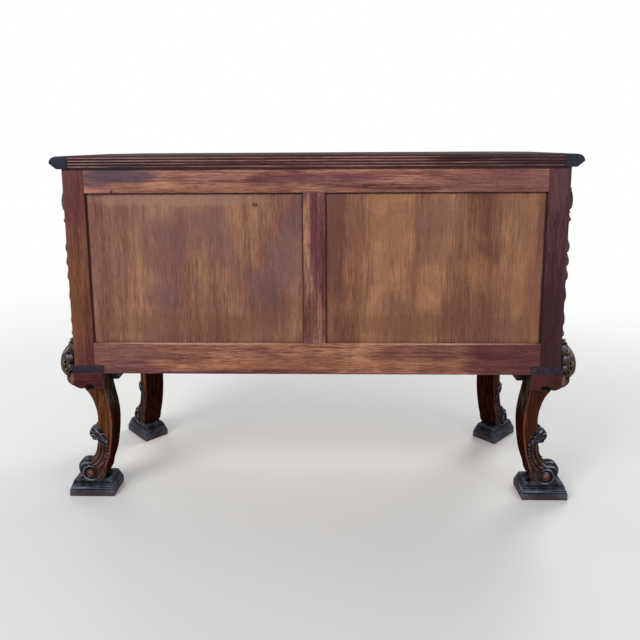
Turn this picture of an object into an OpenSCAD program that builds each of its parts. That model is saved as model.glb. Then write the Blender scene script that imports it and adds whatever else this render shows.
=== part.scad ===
// Commode with three long drawers, canted and carved front corners, a framed and panelled back,
// and four carved scroll legs on moulded plinths. Millimetres. The drawers face -Y, the back faces +Y,
// the origin lies on the floor under the middle of the top, and left and right are seen from the front.

/* [Carcass] */
// Width over the two side boards
body_w = 1147; // [1100:1:1200]
// Depth from the drawer fronts to the back frame
body_d = 399; // [385:1:430]
// Height of the top surface above the floor
height = 834; // [815:1:860]
// Height of the underside of the carcass above the floor
leg_h = 320; // [310:1:335]
// How far each front corner is cut back, along the front and along the side
corner_cant = 82; // [78:1:92]
// Thickness of a side board
side_t = 20; // [18:0.5:22]
// Thickness of a canted corner post, square to its face
post_t = 42; // [38:1:45]
// Length of the side return of a corner post
post_return = 26; // [24:1:32]
// Length of the tongues along the upright edges of a side board
tongue_l = 8; // [6:0.5:9]

/* [Top] */
// Thickness of the top
top_t = 29; // [26:0.5:32]
// Overhang of the top beyond each side board
side_overhang = 26.5; // [24:0.5:34]
// Overhang of the top beyond the drawer fronts
front_overhang = 27; // [24:0.5:34]
// Overhang of the top beyond the back frame
back_overhang = 4; // [3:0.5:6]
// Width of the moulding round the top, from its nose to the core
nosing_w = 43; // [38:1:50]
// How far the shaped nose of the moulding reaches
nose_d = 16; // [12:0.5:20]
// Height of the square tip of the nose
nose_tip = 3; // [2:0.5:4]
// Number of reeds along the back edge of the core
reed_count = 4; // [3:1:4]
// Radius of one reed
reed_r = 2.6; // [2:0.1:3]
// How far the reeds stand out of the core
reed_proud = 2; // [1:0.5:2]

/* [Back frame] */
// Thickness of the back frame
frame_t = 22; // [18:0.5:25]
// Width of a back stile
stile_w = 48.5; // [44:0.5:56]
// Height of the back top rail
top_rail_h = 55; // [48:1:65]
// Height of the back bottom rail
bottom_rail_h = 76; // [68:1:90]
// Width of the middle muntin
muntin_w = 50.4; // [44:0.2:60]
// Thickness of a back panel
panel_t = 6; // [5:0.5:8]
// Setback of a back panel from the face of its frame
panel_inset = 5; // [3:0.5:7]
// Depth of the panel grooves
groove_d = 8; // [6:0.5:9]
// Thickness of a frame tenon
tenon_t = 7; // [6:0.5:8]
// Length of a frame tenon
tenon_l = 25; // [20:1:30]
// Distance of a tenon from the edges of its rail
tenon_shoulder = 8; // [6:0.5:9]
// Clearance in grooves and mortises
joint_clear = 0.2; // [0.1:0.05:0.3]

/* [Base and front rails] */
// Width of the rails of the base frame
base_w = 77; // [74:1:82]
// Height of the rails of the base frame
base_h = 20; // [16:0.5:24]
// How far the base frame stands out of the carcass
base_proud = 6.5; // [4:0.5:8]
// Chamfer of the upper edge of the base frame
base_chamfer = 3; // [2:0.5:4]
// Height of the top rail above the upper drawer
head_rail_h = 22; // [18:1:26]
// Height of a rail between two drawers
rail_h = 20; // [16:1:24]
// Depth of the front rails
rail_d = 60; // [54:1:66]
// Width of a tenon of a front rail, from front to back
rail_tenon_w = 24; // [20:1:26]
// Length of a tenon of a front rail
rail_tenon_l = 12; // [10:1:14]
// Distance of a tenon of a front rail from the edges of the rail
rail_shoulder = 4; // [3:0.5:5]
// How far a tenon of a front rail lies behind the middle of the rail
rail_tenon_back = 4; // [0:1:6]
// Thickness of a drawer runner
runner_t = 12; // [10:0.5:14]
// Width of the part of a runner that lies under the drawer side
runner_lap = 20; // [16:1:24]
// Height of the guide on a runner
guide_h = 12; // [8:0.5:16]
// Length of a drawer stop, across the front
stop_l = 30; // [24:1:40]
// Depth of a drawer stop
stop_d = 12; // [8:1:16]
// Height of a drawer stop
stop_h = 7; // [5:0.5:8]
// Distance of a drawer stop from the middle
stop_x = 330; // [280:5:380]

/* [Drawers] */
// Gap round a drawer front
drawer_gap = 1; // [0.8:0.1:1.5]
// Running clearance under and beside a drawer
run_clear = 0.4; // [0.3:0.1:0.6]
// Thickness of a drawer front
front_t = 20; // [18:0.5:22]
// Thickness of the drawer sides and back
drawer_side_t = 12; // [10:0.5:14]
// Thickness of a drawer bottom
bottom_t = 6; // [5:0.5:7]
// Height of a drawer bottom above the lower edge of the sides
bottom_up = 10; // [9:0.5:12]
// Gap between a closed drawer and the back frame
drawer_rear_gap = 25; // [15:1:45]
// How much lower the drawer sides are than the opening
side_drop = 12; // [8:1:20]
// Width of the bead round a drawer front
bead_w = 4; // [3:0.5:5]
// How far the bead stands out of the drawer front
bead_proud = 1.5; // [1:0.5:2]
// Number of dovetails at each drawer corner
tail_count = 4; // [3:1:5]
// Length of a dovetail
tail_l = 12; // [10:0.5:13]
// Distance of the outer dovetails from the edges of a drawer side
tail_edge = 4; // [3:0.5:6]
// How much lower the drawer back is than the drawer sides
back_drop = 8; // [5:1:12]

/* [Handles] */
// Distance of a handle from the middle of the drawer
handle_x = 265; // [220:5:320]
// Height of the pivot of a handle above the middle of the drawer
handle_up = 8; // [4:1:12]
// Distance between the two posts of a handle
post_gap = 80; // [72:1:90]
// Distance of the bail pivot from the drawer front
post_l = 16; // [14:0.5:20]
// Radius of a post
post_r = 4; // [3.5:0.1:4.5]
// Radius of the knuckle that ends a post
knuckle_r = 6; // [5.5:0.1:6.5]
// Length of the knuckle
knuckle_l = 10; // [8:0.5:12]
// Thickness of a back plate
plate_t = 1.6; // [1.2:0.1:2]
// Radius of the lobes of a back plate at its posts
plate_r = 15; // [12:0.5:17]
// Radius of a bail pin
pin_r = 2; // [1.8:0.1:2.2]
// Radial clearance of a bail pin in its post
pin_clear = 0.06; // [0.04:0.01:0.09]
// Radius of the rod of a bail
bail_r = 2.6; // [2.4:0.1:3]
// Drop of a bail below its pivot
bail_drop = 31; // [28:1:36]
// Radius of the lower bends of a bail
bail_bend = 9; // [7:0.5:11]
// Gap between a bail and its post
bail_gap = 0.6; // [0.4:0.1:1]
// Radius of the knop in the middle of a bail
knop_r = 4.4; // [4:0.1:5]
// Radius of the rings where the bends of a bail begin and end
ring_r = 3.1; // [3:0.1:3.5]
// Length of a ring on a bail
ring_l = 3; // [2.4:0.2:4]

/* [Legs] */
// Width of a leg across its scroll
leg_w = 54; // [50:1:56]
// Height of a leg block
block_h = 38; // [34:1:42]
// Width of a leg block
block_w = 80; // [76:1:84]
// How far the back edge of the ear of a leg block stands out of the carcass
ear_out = 10; // [7:0.5:12]
// How far the rounded middle of the ear stands out of the carcass
ear_bulge = 35.5; // [32:0.5:38]
// Radius of the rounded middle of the ear, seen from above
ear_r = 34; // [32:0.5:37]
// Distance of the inner end of a leg block from the face of the carcass
block_in = 65; // [62:1:70]
// How far the underside of the ear runs in from its tip
ear_run = 19; // [16:1:22]
// Radius of the scooped arch in the face of a leg block
scoop_r = 15; // [12:0.5:17]
// Distance of the middle of the arch from the face of the carcass, inwards
scoop_in = 31; // [29:0.5:33]
// Distance of the middle of the arch below the block
scoop_drop = 4; // [2:0.5:6]
// Distance of the shoulder of a leg from the carcass face, inwards
shoulder_in = 30; // [28:1:34]
// Radius of the leaf over the foot scroll, in the middle of the leg
volute_r = 25; // [23:0.5:27]
// Radius of the leaf over the foot scroll, at the faces of the leg
volute_end_r = 15; // [13:0.5:17]
// Distance of the middle of that leaf from the carcass face, inwards
volute_in = 3; // [1:0.5:5]
// Height of the middle of that leaf above the plinth
volute_up = 24; // [22:0.5:26]
// Radius of the foot scroll at the faces of the leg
scroll_r = 14; // [12:0.5:16]
// Distance of the middle of the foot scroll from the carcass face, inwards
scroll_in = 14.5; // [12:0.5:17]
// How deep the round of the foot scroll is cut flat where it stands
scroll_flat = 1; // [0.5:0.5:2]
// Radius of the button in the foot scroll
eye_r = 7; // [6:0.5:8]
// How far the button stands out
eye_proud = 3; // [2:0.5:4]
// Radius of the curl half way up a leg, in the middle of the leg
curl_r = 20; // [18:0.5:22]
// Radius of the curl at its ends
curl_end_r = 14; // [12:0.5:16]
// Distance of the curl from the carcass face, inwards
curl_in = 31; // [29:0.5:33]
// How far the ends of the curl lie behind the faces of the leg
curl_setback = 2; // [0.5:0.5:4]
// Height of the curl, as a share of the leg between plinth and block
curl_share = 0.483; // [0.45:0.005:0.52]
// Setback of the rear plinths from the back frame
plinth_setback = 4; // [2:0.5:8]
// Length of a plinth along the scroll of its leg
plinth_l = 110; // [106:1:116]
// Width of a plinth
plinth_w = 72; // [68:1:76]
// Height of a plinth
plinth_h = 42; // [38:1:46]
// Height of the square slab of a plinth
slab_h = 17; // [14:1:20]
// Inset of the upper end of a plinth
plinth_step = 9; // [7:0.5:10]
// Distance of the middle of a plinth from the face of the carcass, inwards
plinth_in = 19.5; // [17:0.5:22]
// Width of a glue block
glue_w = 20; // [16:1:24]
// Height of a glue block
glue_h = 30; // [24:1:34]
// Length of a glue block
glue_l = 34; // [28:1:44]
// Gap between a glue block and its leg
glue_gap = 4; // [3:0.5:8]

/* [Carving] */
// Height of the knee carving above the underside of the carcass
knee_h = 72; // [66:1:80]
// How far the knee carving hangs in front of the ear
knee_drop = 15; // [12:1:18]
// Half the width of the knee carving where it meets the corner
knee_w = 37; // [34:0.5:39]
// How far out the ear is cut back for the knee carving
knee_lip = 18; // [15:0.5:21]
// How far the knee carving stands out
knee_out = 48; // [45:0.5:51]
// How far the leaves and husks on a corner stand out
husk_out = 20; // [17.5:0.5:22]
// Half the width of a leaf or husk
husk_w = 18; // [16:0.5:20]
// Radius of the stem that joins the husks
stem_r = 10; // [8:0.5:12]
// How far that stem stands out
stem_out = 17; // [14:0.5:18]

/* [Hidden] */
$fn = 64;

// Planes of the carcass
body_x = body_w / 2;
top_d = body_d + front_overhang + back_overhang;
top_x = body_x + side_overhang;
y_back = top_d / 2 - back_overhang;
y_front = front_overhang - top_d / 2;
z_top = height - top_t;
z_base = leg_h + base_h;
y_panel = y_back - frame_t;
board_in = body_x - side_t;
stile_in = body_x - stile_w;
open_x = body_x - corner_cant;
base_out_y = y_front - base_proud;

// Middle of a canted corner face, and the line x - y on which that face lies
cant_x = body_x - corner_cant / 2;
cant_y = y_front + corner_cant / 2;
cant_sum = cant_x - cant_y;
root2 = sqrt(2);

// Drawer openings, counted from below
drawer_count = 3;
open_h = (z_top - head_rail_h - z_base - (drawer_count - 1) * rail_h) / drawer_count;
open_step = open_h + rail_h;
drawer_x = open_x - drawer_gap;
drawer_l = y_panel - y_front - drawer_rear_gap;
drawer_side_h = open_h - side_drop;

// Legs and plinths
leg_y = y_back - plinth_setback - plinth_w / 2;
leg_top = leg_h - block_h;
leg_back_v = y_back - leg_y;

// Colours of the timbers and fittings
oak_dark = [0.16, 0.09, 0.08];
mahogany = [0.42, 0.2, 0.13];
panel_brown = [0.5, 0.3, 0.19];
carved_dark = [0.13, 0.1, 0.1];
drawer_pale = [0.66, 0.5, 0.33];
brass_old = [0.62, 0.47, 0.22];

// A big block that keeps or removes one side of a plane
far = 2000;

// How far a cutting shape reaches past the faces that it cuts
over = 1;

// Smooth curve through a few points, with n steps between two of them
function spline(p, n) = concat(
  [for (i = [0 : len(p) - 2]) for (k = [0 : n - 1])
    let (a = p[max(i - 1, 0)], b = p[i], c = p[i + 1], d = p[min(i + 2, len(p) - 1)], t = k / n)
    0.5 * (2 * b + (c - a) * t + (2 * a - 5 * b + 4 * c - d) * t * t + (3 * b - a - 3 * c + d) * t * t * t)],
  [p[len(p) - 1]]);

// The two places of a leg on the right: u points out of the carcass, v lies along its face
module at_rear() { translate([body_x, leg_y, 0]) children(); }
module at_front() { translate([cant_x, cant_y, 0]) rotate([0, 0, -45]) children(); }
module on_left() { mirror([1, 0, 0]) children(); }

// An outline of u and z, stood up and drawn out to both sides of v = 0
module upright(points, width) {
  rotate([90, 0, 0]) translate([0, 0, -width / 2]) linear_extrude(width) polygon(points);
}

// A block given by its lowest and highest corners
module block(low, high) { translate(low) cube(high - low); }

// Plan outline at a distance outside the carcass face, from the right side round to the front
function plan_side(out) = [body_x + out, body_x + out - cant_sum - out * root2];
function plan_front(out) = [cant_sum + out * root2 + y_front - out, y_front - out];
function top_side(in) = [top_x - in, top_x - in - cant_sum - (side_overhang - in) * root2];
function top_front(in) = [
  cant_sum + (side_overhang - in) * root2 - top_d / 2 + in, in - top_d / 2];

// Top
module top_core() {
  a = top_side(nosing_w);
  b = top_front(nosing_w);
  y_end = top_d / 2 - reed_proud;
  pitch = top_t / (reed_count + 0.5);
  color(oak_dark) union() {
    translate([0, 0, z_top]) linear_extrude(top_t)
      polygon([[a.x, y_end], a, b, [-b.x, b.y], [-a.x, a.y], [-a.x, y_end]]);
    for (i = [1 : reed_count])
      translate([-a.x, y_end + reed_proud - reed_r, z_top + (i - 0.25) * pitch])
        rotate([0, 90, 0]) cylinder(h = 2 * a.x, r = reed_r);
  }
}

// One straight run of the nosing, its nose at u = 0
module nosing_run() {
  mid = z_top + top_t * 0.5;
  points = concat(
    [[-nosing_w, z_top], [-nose_d, z_top], [-nose_d * 0.55, z_top + top_t * 0.2],
      [0, mid - nose_tip / 2]],
    spline([[0, mid + nose_tip / 2], [-nose_d * 0.14, mid + top_t * 0.24],
      [-nose_d * 0.5, mid + top_t * 0.42], [-nose_d, height]], 4),
    [[-nosing_w, height]]);
  upright(points, far);
}

module top_moulding_right() {
  a = top_side(0);
  b = top_side(nosing_w);
  color(carved_dark) intersection() {
    translate([top_x, 0, 0]) nosing_run();
    linear_extrude(far) polygon([[a.x, top_d / 2], a, b, [b.x, top_d / 2]]);
  }
}

module top_moulding_front() {
  a = top_front(0);
  b = top_front(nosing_w);
  color(carved_dark) intersection() {
    translate([0, -top_d / 2, 0]) rotate([0, 0, -90]) nosing_run();
    linear_extrude(far) polygon([a, b, [-b.x, b.y], [-a.x, a.y]]);
  }
}

module top_moulding_corners() {
  color(carved_dark) for (side = [0, 1]) mirror([side, 0, 0]) intersection() {
    at_front() translate([side_overhang, 0, 0]) nosing_run();
    linear_extrude(far) polygon([top_side(0), top_front(0), top_front(nosing_w), top_side(nosing_w)]);
  }
}

// Back frame
tenon_y = y_back - (frame_t + tenon_t) / 2;
panel_y = y_back - panel_inset - panel_t;
rail_top_z = z_top - top_rail_h;
rail_bottom_z = leg_h + bottom_rail_h;

// Tenon at the right end of a rail between two heights, larger by a clearance where it is a mortise
module rail_tenon(z0, z1, clear) {
  block([stile_in - clear, tenon_y - clear, z0 + tenon_shoulder - clear],
    [stile_in + tenon_l + clear, tenon_y + tenon_t + clear, z1 - tenon_shoulder + clear]);
}

// Tenon of the muntin from a height upwards or downwards
module muntin_tenon(z0, z1, clear) {
  half = muntin_w / 2 - tenon_shoulder;
  block([-half - clear, tenon_y - clear, z0 - clear], [half + clear, tenon_y + tenon_t + clear, z1 + clear]);
}

// Space of the groove for the panels, a little thicker and deeper than a panel
module panel_groove() {
  block([-stile_in - groove_d, panel_y - joint_clear, rail_bottom_z - groove_d],
    [stile_in + groove_d, panel_y + panel_t + joint_clear, rail_top_z + groove_d]);
}

module back_stile_right() {
  color(mahogany) difference() {
    block([stile_in, y_panel, z_base], [body_x, y_back, z_top]);
    panel_groove();
    rail_tenon(rail_top_z, z_top, joint_clear);
    rail_tenon(z_base, rail_bottom_z, joint_clear);
    board_tongue(y_panel, joint_clear);
  }
}

module back_top_rail() {
  color(mahogany) difference() {
    union() {
      block([-stile_in, y_panel, rail_top_z], [stile_in, y_back, z_top]);
      for (side = [0, 1]) mirror([side, 0, 0]) rail_tenon(rail_top_z, z_top, 0);
    }
    panel_groove();
    muntin_tenon(rail_top_z, rail_top_z + tenon_l, joint_clear);
  }
}

module back_bottom_rail() {
  notch_x = body_x + base_proud - base_w;
  color(mahogany) difference() {
    union() {
      block([-stile_in, y_panel, leg_h], [stile_in, y_back, rail_bottom_z]);
      for (side = [0, 1]) mirror([side, 0, 0]) rail_tenon(z_base, rail_bottom_z, 0);
    }
    panel_groove();
    muntin_tenon(rail_bottom_z - tenon_l, rail_bottom_z, joint_clear);
    for (side = [0, 1]) mirror([side, 0, 0])
      block([notch_x, y_panel - over, leg_h - over], [stile_in + over, y_back + over, z_base]);
  }
}

module back_muntin() {
  color(mahogany) union() {
    difference() {
      block([-muntin_w / 2, y_panel, rail_bottom_z], [muntin_w / 2, y_back, rail_top_z]);
      for (side = [0, 1]) mirror([side, 0, 0])
        block([muntin_w / 2 - groove_d, panel_y - joint_clear, 0],
          [muntin_w, panel_y + panel_t + joint_clear, height]);
    }
    muntin_tenon(rail_bottom_z - tenon_l + joint_clear, rail_bottom_z, 0);
    muntin_tenon(rail_top_z, rail_top_z + tenon_l - joint_clear, 0);
  }
}

module back_panel_right() {
  lap = groove_d - joint_clear;
  color(panel_brown) block([muntin_w / 2 - lap, panel_y, rail_bottom_z - lap],
    [stile_in + lap, panel_y + panel_t, rail_top_z + lap]);
}

// Sides and front corners
post_y = y_front + corner_cant + post_return;
tongue_t = side_t / 3;

// Tongue along an upright edge of the side board, to both sides of the given plane
module board_tongue(y, clear) {
  block([body_x - 2 * tongue_t - clear, y - tongue_l - clear, z_base - over],
    [body_x - tongue_t + clear, y + tongue_l + clear, z_top + over]);
}

module side_board_right() {
  color(mahogany) union() {
    block([board_in, post_y, z_base], [body_x, y_panel, z_top]);
    intersection() {
      union() {
        board_tongue(post_y, 0);
        board_tongue(y_panel, 0);
      }
      block([0, -far, z_base], [far, far, z_top]);
    }
  }
}

module front_tenon(z0, z1, clear) {
  y_mid = y_front + rail_d / 2 + rail_tenon_back;
  block([open_x - clear, y_mid - rail_tenon_w / 2 - clear, z0 + rail_shoulder - clear],
    [open_x + rail_tenon_l + clear, y_mid + rail_tenon_w / 2 + clear, z1 - rail_shoulder + clear]);
}

module front_rail(z0, z1) {
  color(mahogany) union() {
    block([-open_x, y_front, z0], [open_x, y_front + rail_d, z1]);
    for (side = [0, 1]) mirror([side, 0, 0]) front_tenon(z0, z1, 0);
  }
}

module head_rail() { front_rail(z_top - head_rail_h, z_top); }
module rail_upper() { front_rail(z_base + 2 * open_step - rail_h, z_base + 2 * open_step); }
module rail_lower() { front_rail(z_base + open_step - rail_h, z_base + open_step); }

module corner_post_right() {
  inner = cant_sum - post_t * root2;
  color(mahogany) union() {
    difference() {
      translate([0, 0, z_base]) linear_extrude(z_top - z_base)
        polygon([[open_x, y_front], [body_x, y_front + corner_cant], [body_x, post_y],
          [inner + post_y, post_y], [open_x, open_x - inner]]);
      board_tongue(post_y, joint_clear);
      front_tenon(z_top - head_rail_h, z_top, joint_clear);
      for (i = [1, 2])
        front_tenon(z_base + i * open_step - rail_h, z_base + i * open_step, joint_clear);
    }
    at_front() carving(post_t / 6);
  }
}

// Carving on a corner: each row is the upper and lower end of a leaf, measured down from the top,
// and its share of husk_out
husks = [[48, 105, 1.1], [114, 130, 1], [169, 203, 1], [204, 236, 1.03], [237, 271, 1], [276, 323, 0.9],
  [335, 381, 0.88], [386, 404, 0.95]];

// Radius of a round form, seen from above, that stands out by a depth and is 2 * half wide at the plane u = 0
function swell_r(out, half) = (out * out + half * half) / (2 * out);

// A swelling leaf between two heights
module husk(z0, z1, out) {
  r = swell_r(out, husk_w);
  steps = 12;
  translate([out - r, 0, 0]) rotate_extrude($fn = 96)
    polygon(concat([[0, z0]],
      [for (i = [1 : steps - 1]) [r * pow(sin(180 * i / steps), 0.5), z0 + (z1 - z0) * i / steps]],
      [[0, z1]]));
}

// Curled acanthus leaf over a leg
module knee() {
  r = swell_r(knee_out, knee_w);
  h = knee_h + knee_drop;
  points = spline([[r * 0.6, 0], [r * 0.86, h * 0.1], [r * 0.98, h * 0.25], [r, h * 0.39],
    [r * 0.93, h * 0.57], [r * 0.68, h * 0.75], [r * 0.38, h * 0.88], [r * 0.22, h]], 3);
  translate([knee_out - r, 0, leg_h - knee_drop]) rotate_extrude($fn = 96)
    polygon(concat([[0, 0]], points, [[0, h]]));
}

// The carving of one corner, rooted by a depth in the wood that it is cut from
module carving(root) {
  stem_low = leg_h + knee_h / 2;
  stem_high = z_top - husks[0][1] + over;
  intersection() {
    difference() {
      union() {
        knee();
        for (h = husks) husk(z_top - h[1], z_top - h[0], husk_out * h[2]);
        translate([stem_out - stem_r, 0, stem_low]) cylinder(h = stem_high - stem_low, r = stem_r);
      }
      block([-far, -far, 0], [base_proud + joint_clear, far, z_base]);
      block([-far, -far, 0], [knee_lip, far, leg_h]);
    }
    block([-root, -far, 0], [far, far, z_top]);
  }
}

module rear_carving_right() { color(carved_dark) at_rear() carving(0); }

// Base frame
module base_solid(points) {
  translate([0, 0, leg_h]) linear_extrude(base_h) polygon(points);
}

// Slanted cut along the upper outer edge of a base rail whose face is at u = 0
module base_edge() {
  upright([[-base_chamfer, z_base], [over, z_base - base_chamfer - over], [over, z_base + over],
    [-base_chamfer, z_base + over]], far);
}

module base_rail_right() {
  a = plan_side(base_proud);
  b = plan_side(base_proud - base_w);
  color(oak_dark) difference() {
    base_solid([a, b, [b.x, y_back], [a.x, y_back]]);
    translate([a.x, 0, 0]) base_edge();
  }
}

module base_rail_front() {
  a = plan_side(base_proud);
  b = plan_front(base_proud);
  c = plan_front(base_proud - base_w);
  d = plan_side(base_proud - base_w);
  color(oak_dark) difference() {
    base_solid([a, b, [-b.x, b.y], [-a.x, a.y], [-d.x, d.y], [-c.x, c.y], c, d]);
    translate([0, base_out_y, 0]) rotate([0, 0, -90]) base_edge();
    for (side = [0, 1]) mirror([side, 0, 0]) at_front() translate([base_proud, 0, 0]) base_edge();
  }
}

// Runners, stops and glue blocks
module drawer_runners() {
  guide_in = open_x + run_clear;
  lap_in = guide_in - runner_lap;
  y0 = y_front + rail_d;
  base_in = body_x + base_proud - base_w;
  color(drawer_pale) for (side = [0, 1]) mirror([side, 0, 0]) for (i = [0 : drawer_count - 1]) {
    z = z_base + i * open_step;
    lap_out = i == 0 ? base_in : board_in;
    y_start = i == 0 ? plan_side(base_proud - base_w).y : y0;
    union() {
      block([lap_in, y_start, z - runner_t], [guide_in, y_panel, z]);
      block([guide_in, max(post_y, y_start), z - runner_t], [lap_out, y_panel, z]);
      block([guide_in, post_y, z], [board_in, y_panel, z + guide_h]);
    }
  }
}

module drawer_stops() {
  y0 = y_front + front_t;
  color(drawer_pale) for (side = [-1, 1]) for (i = [0 : drawer_count - 1]) {
    z = z_base + i * open_step;
    block([side * stop_x - stop_l / 2, y0, z], [side * stop_x + stop_l / 2, y0 + stop_d, z + stop_h]);
  }
}

module glue_blocks() {
  u = -block_in - glue_gap;
  color(oak_dark) for (side = [0, 1]) mirror([side, 0, 0]) {
    at_rear() block([u - glue_w, -glue_l, leg_h - glue_h], [u, 0, leg_h]);
    at_front() block([u - glue_w, -glue_l / 2, leg_h - glue_h], [u, glue_l / 2, leg_h]);
  }
}

// Legs
// A round form that lies across a leg, thicker in its middle than at its ends
module barrel(r_middle, r_end, half) {
  rotate([90, 0, 0]) rotate_extrude() polygon(concat([[0, -half]],
    spline([[r_end, -half], [r_middle * 0.88, -half * 0.65], [r_middle, 0], [r_middle * 0.88, half * 0.65],
      [r_end, half]], 3), [[0, half]]));
}

// Shaped block beside and over a leg, from v0 to v1, its arch cut into the face at v1
module leg_block(v0, v1) {
  ear = spline([[ear_out, leg_h], [ear_out + ear_run * 0.02, leg_h - block_h * 0.33],
    [ear_out - ear_run * 0.2, leg_h - block_h * 0.78], [ear_out - ear_run, leg_top]], 4);
  bulge = spline([[ear_r * 0.9, leg_h], [ear_r, leg_h - block_h * 0.4],
    [ear_r * 0.97, leg_h - block_h * 0.75], [ear_r * 0.72, leg_top - over]], 4);
  middle = (v0 + v1) / 2;
  half = leg_w / 2 + joint_clear;
  color(mahogany) difference() {
    translate([0, middle, 0]) union() {
      upright(concat([[-block_in, leg_top], [-block_in, leg_h]], ear), v1 - v0);
      intersection() {
        translate([ear_bulge - ear_r, 0, 0])
          rotate_extrude() polygon(concat([[0, leg_h]], bulge, [[0, leg_top - over]]));
        block([-ear_run, -far, leg_top], [far, far, leg_h]);
      }
    }
    block([knee_lip - joint_clear, -far, leg_h - knee_drop - joint_clear], [far, far, leg_h + over]);
    translate([-scoop_in, leg_w / 2, leg_top - scoop_drop]) rotate([-90, 0, 0])
      cylinder(h = far, r = scoop_r);
    block([-far, -half, leg_top - over], [-shoulder_in + joint_clear, half, leg_h + over]);
  }
}

// Outlines of a leg: distance from the carcass face, and share of the way from plinth to block
leg_outer = [[-8, 1], [-26.5, 0.9], [-36, 0.8], [-41, 0.69], [-40, 0.58], [-38.5, 0.44], [-36, 0.35],
  [-29, 0.24]];
leg_inner = [[-45, 0], [-61.5, 0.16], [-69.5, 0.26], [-76, 0.41], [-79.5, 0.56], [-79.5, 0.68], [-75.5, 0.81],
  [-70, 0.92], [-67, 1]];

function leg_point(p) = [p[0], plinth_h + p[1] * (leg_top - plinth_h)];

module leg() {
  outer = spline([for (p = leg_outer) leg_point(p)], 4);
  inner = spline([for (p = leg_inner) leg_point(p)], 4);
  leaf_z = plinth_h + volute_up;
  scroll_z = plinth_h + scroll_r - scroll_flat;
  curl = leg_point([-curl_in, curl_share]);
  color(mahogany) intersection() {
    union() {
      upright(concat(outer, [[-scroll_in, scroll_z], [-scroll_in, plinth_h]], inner,
        [[-block_in, leg_h], [-shoulder_in, leg_h], [-shoulder_in, leg_top]]), leg_w);
      translate([-volute_in, 0, leaf_z]) barrel(volute_r, volute_end_r, leg_w / 2 - over);
      translate([-scroll_in, -leg_w / 2, scroll_z]) rotate([-90, 0, 0]) cylinder(h = leg_w, r = scroll_r);
      translate([-scroll_in, -leg_w / 2 - eye_proud, scroll_z]) rotate([-90, 0, 0])
        cylinder(h = leg_w + 2 * eye_proud, r = eye_r);
      translate([curl.x, 0, curl.y]) barrel(curl_r, curl_end_r, leg_w / 2 - curl_setback);
    }
    block([-far, -far, plinth_h], [far, far, leg_h]);
  }
}

// Moulded plinth: a slab, three beads and a hollow, as steps
module plinth_layer(inset, z0, z1) {
  block([-plinth_in - plinth_l / 2 + inset, -plinth_w / 2 + inset, z0],
    [-plinth_in + plinth_l / 2 - inset, plinth_w / 2 - inset, z1]);
}

module plinth() {
  rise = plinth_h - slab_h;
  color(carved_dark) union() {
    plinth_layer(0, 0, slab_h);
    plinth_layer(plinth_step * 0.16, slab_h, slab_h + rise * 0.2);
    plinth_layer(plinth_step * 0.38, slab_h, slab_h + rise * 0.4);
    plinth_layer(plinth_step * 0.62, slab_h, slab_h + rise * 0.6);
    plinth_layer(plinth_step, slab_h, plinth_h);
  }
}

// Drawers: the lowest is number 3
function drawer_z(n) = z_base + (drawer_count - n) * open_step;

// The tails at the front end of a drawer side, larger by a clearance where they are sockets
module tails(z, clear) {
  pitch = (drawer_side_h - 2 * tail_edge) / tail_count;
  narrow = pitch * 0.22 + clear;
  wide = pitch * 0.34 + clear;
  y0 = y_front + front_t;
  for (i = [0 : tail_count - 1]) translate([0, y0, z + tail_edge + pitch * (i + 0.5)]) rotate([0, 90, 0])
    translate([0, 0, drawer_x - drawer_side_t - clear]) linear_extrude(drawer_side_t + 2 * clear)
      polygon([[-narrow, 0], [narrow, 0], [wide, -tail_l - clear], [-wide, -tail_l - clear]]);
}

module drawer_front(n) {
  z = drawer_z(n);
  low = z + drawer_gap;
  high = z + open_h - drawer_gap;
  groove_z = z + run_clear + bottom_up;
  color(mahogany) difference() {
    block([-drawer_x, y_front - bead_proud, low], [drawer_x, y_front + front_t, high]);
    block([-drawer_x + bead_w, y_front - bead_proud - over, low + bead_w],
      [drawer_x - bead_w, y_front, high - bead_w]);
    for (side = [0, 1]) mirror([side, 0, 0]) tails(z + run_clear, joint_clear);
    block([-drawer_x + drawer_side_t / 2, y_front + front_t / 2, groove_z - joint_clear],
      [drawer_x - drawer_side_t / 2, y_front + front_t + over, groove_z + bottom_t + joint_clear]);
  }
}

module drawer_sides(n) {
  z = drawer_z(n) + run_clear;
  groove_z = z + bottom_up;
  y0 = y_front + front_t;
  color(drawer_pale) for (side = [0, 1]) mirror([side, 0, 0]) difference() {
    union() {
      block([drawer_x - drawer_side_t, y0, z], [drawer_x, y_front + drawer_l, z + drawer_side_h]);
      tails(z, 0);
    }
    block([0, y_front + front_t / 2, groove_z - joint_clear],
      [drawer_x - drawer_side_t / 2, y_front + drawer_l + over, groove_z + bottom_t + joint_clear]);
  }
}

module drawer_back(n) {
  z = drawer_z(n) + run_clear + bottom_up + bottom_t;
  x = drawer_x - drawer_side_t;
  color(drawer_pale) block([-x, y_front + drawer_l - drawer_side_t, z + joint_clear],
    [x, y_front + drawer_l, z + drawer_side_h - bottom_up - bottom_t - back_drop]);
}

module drawer_bottom(n) {
  z = drawer_z(n) + run_clear + bottom_up;
  x = drawer_x - drawer_side_t / 2 - joint_clear;
  color(drawer_pale) block([-x, y_front + front_t / 2 + joint_clear, z],
    [x, y_front + drawer_l, z + bottom_t]);
}

// Handles: back plate with two knuckled posts, and the bail that swings between them
function handle_z(n) = drawer_z(n) + open_h / 2 + handle_up;
pivot_y = y_front - post_l;

module at_handle(n, side) { translate([side * handle_x, pivot_y, handle_z(n)]) children(); }

module plate_disc(x, z, r) {
  translate([x, post_l - plate_t, z]) rotate([-90, 0, 0]) cylinder(h = plate_t, r = r);
}

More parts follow.
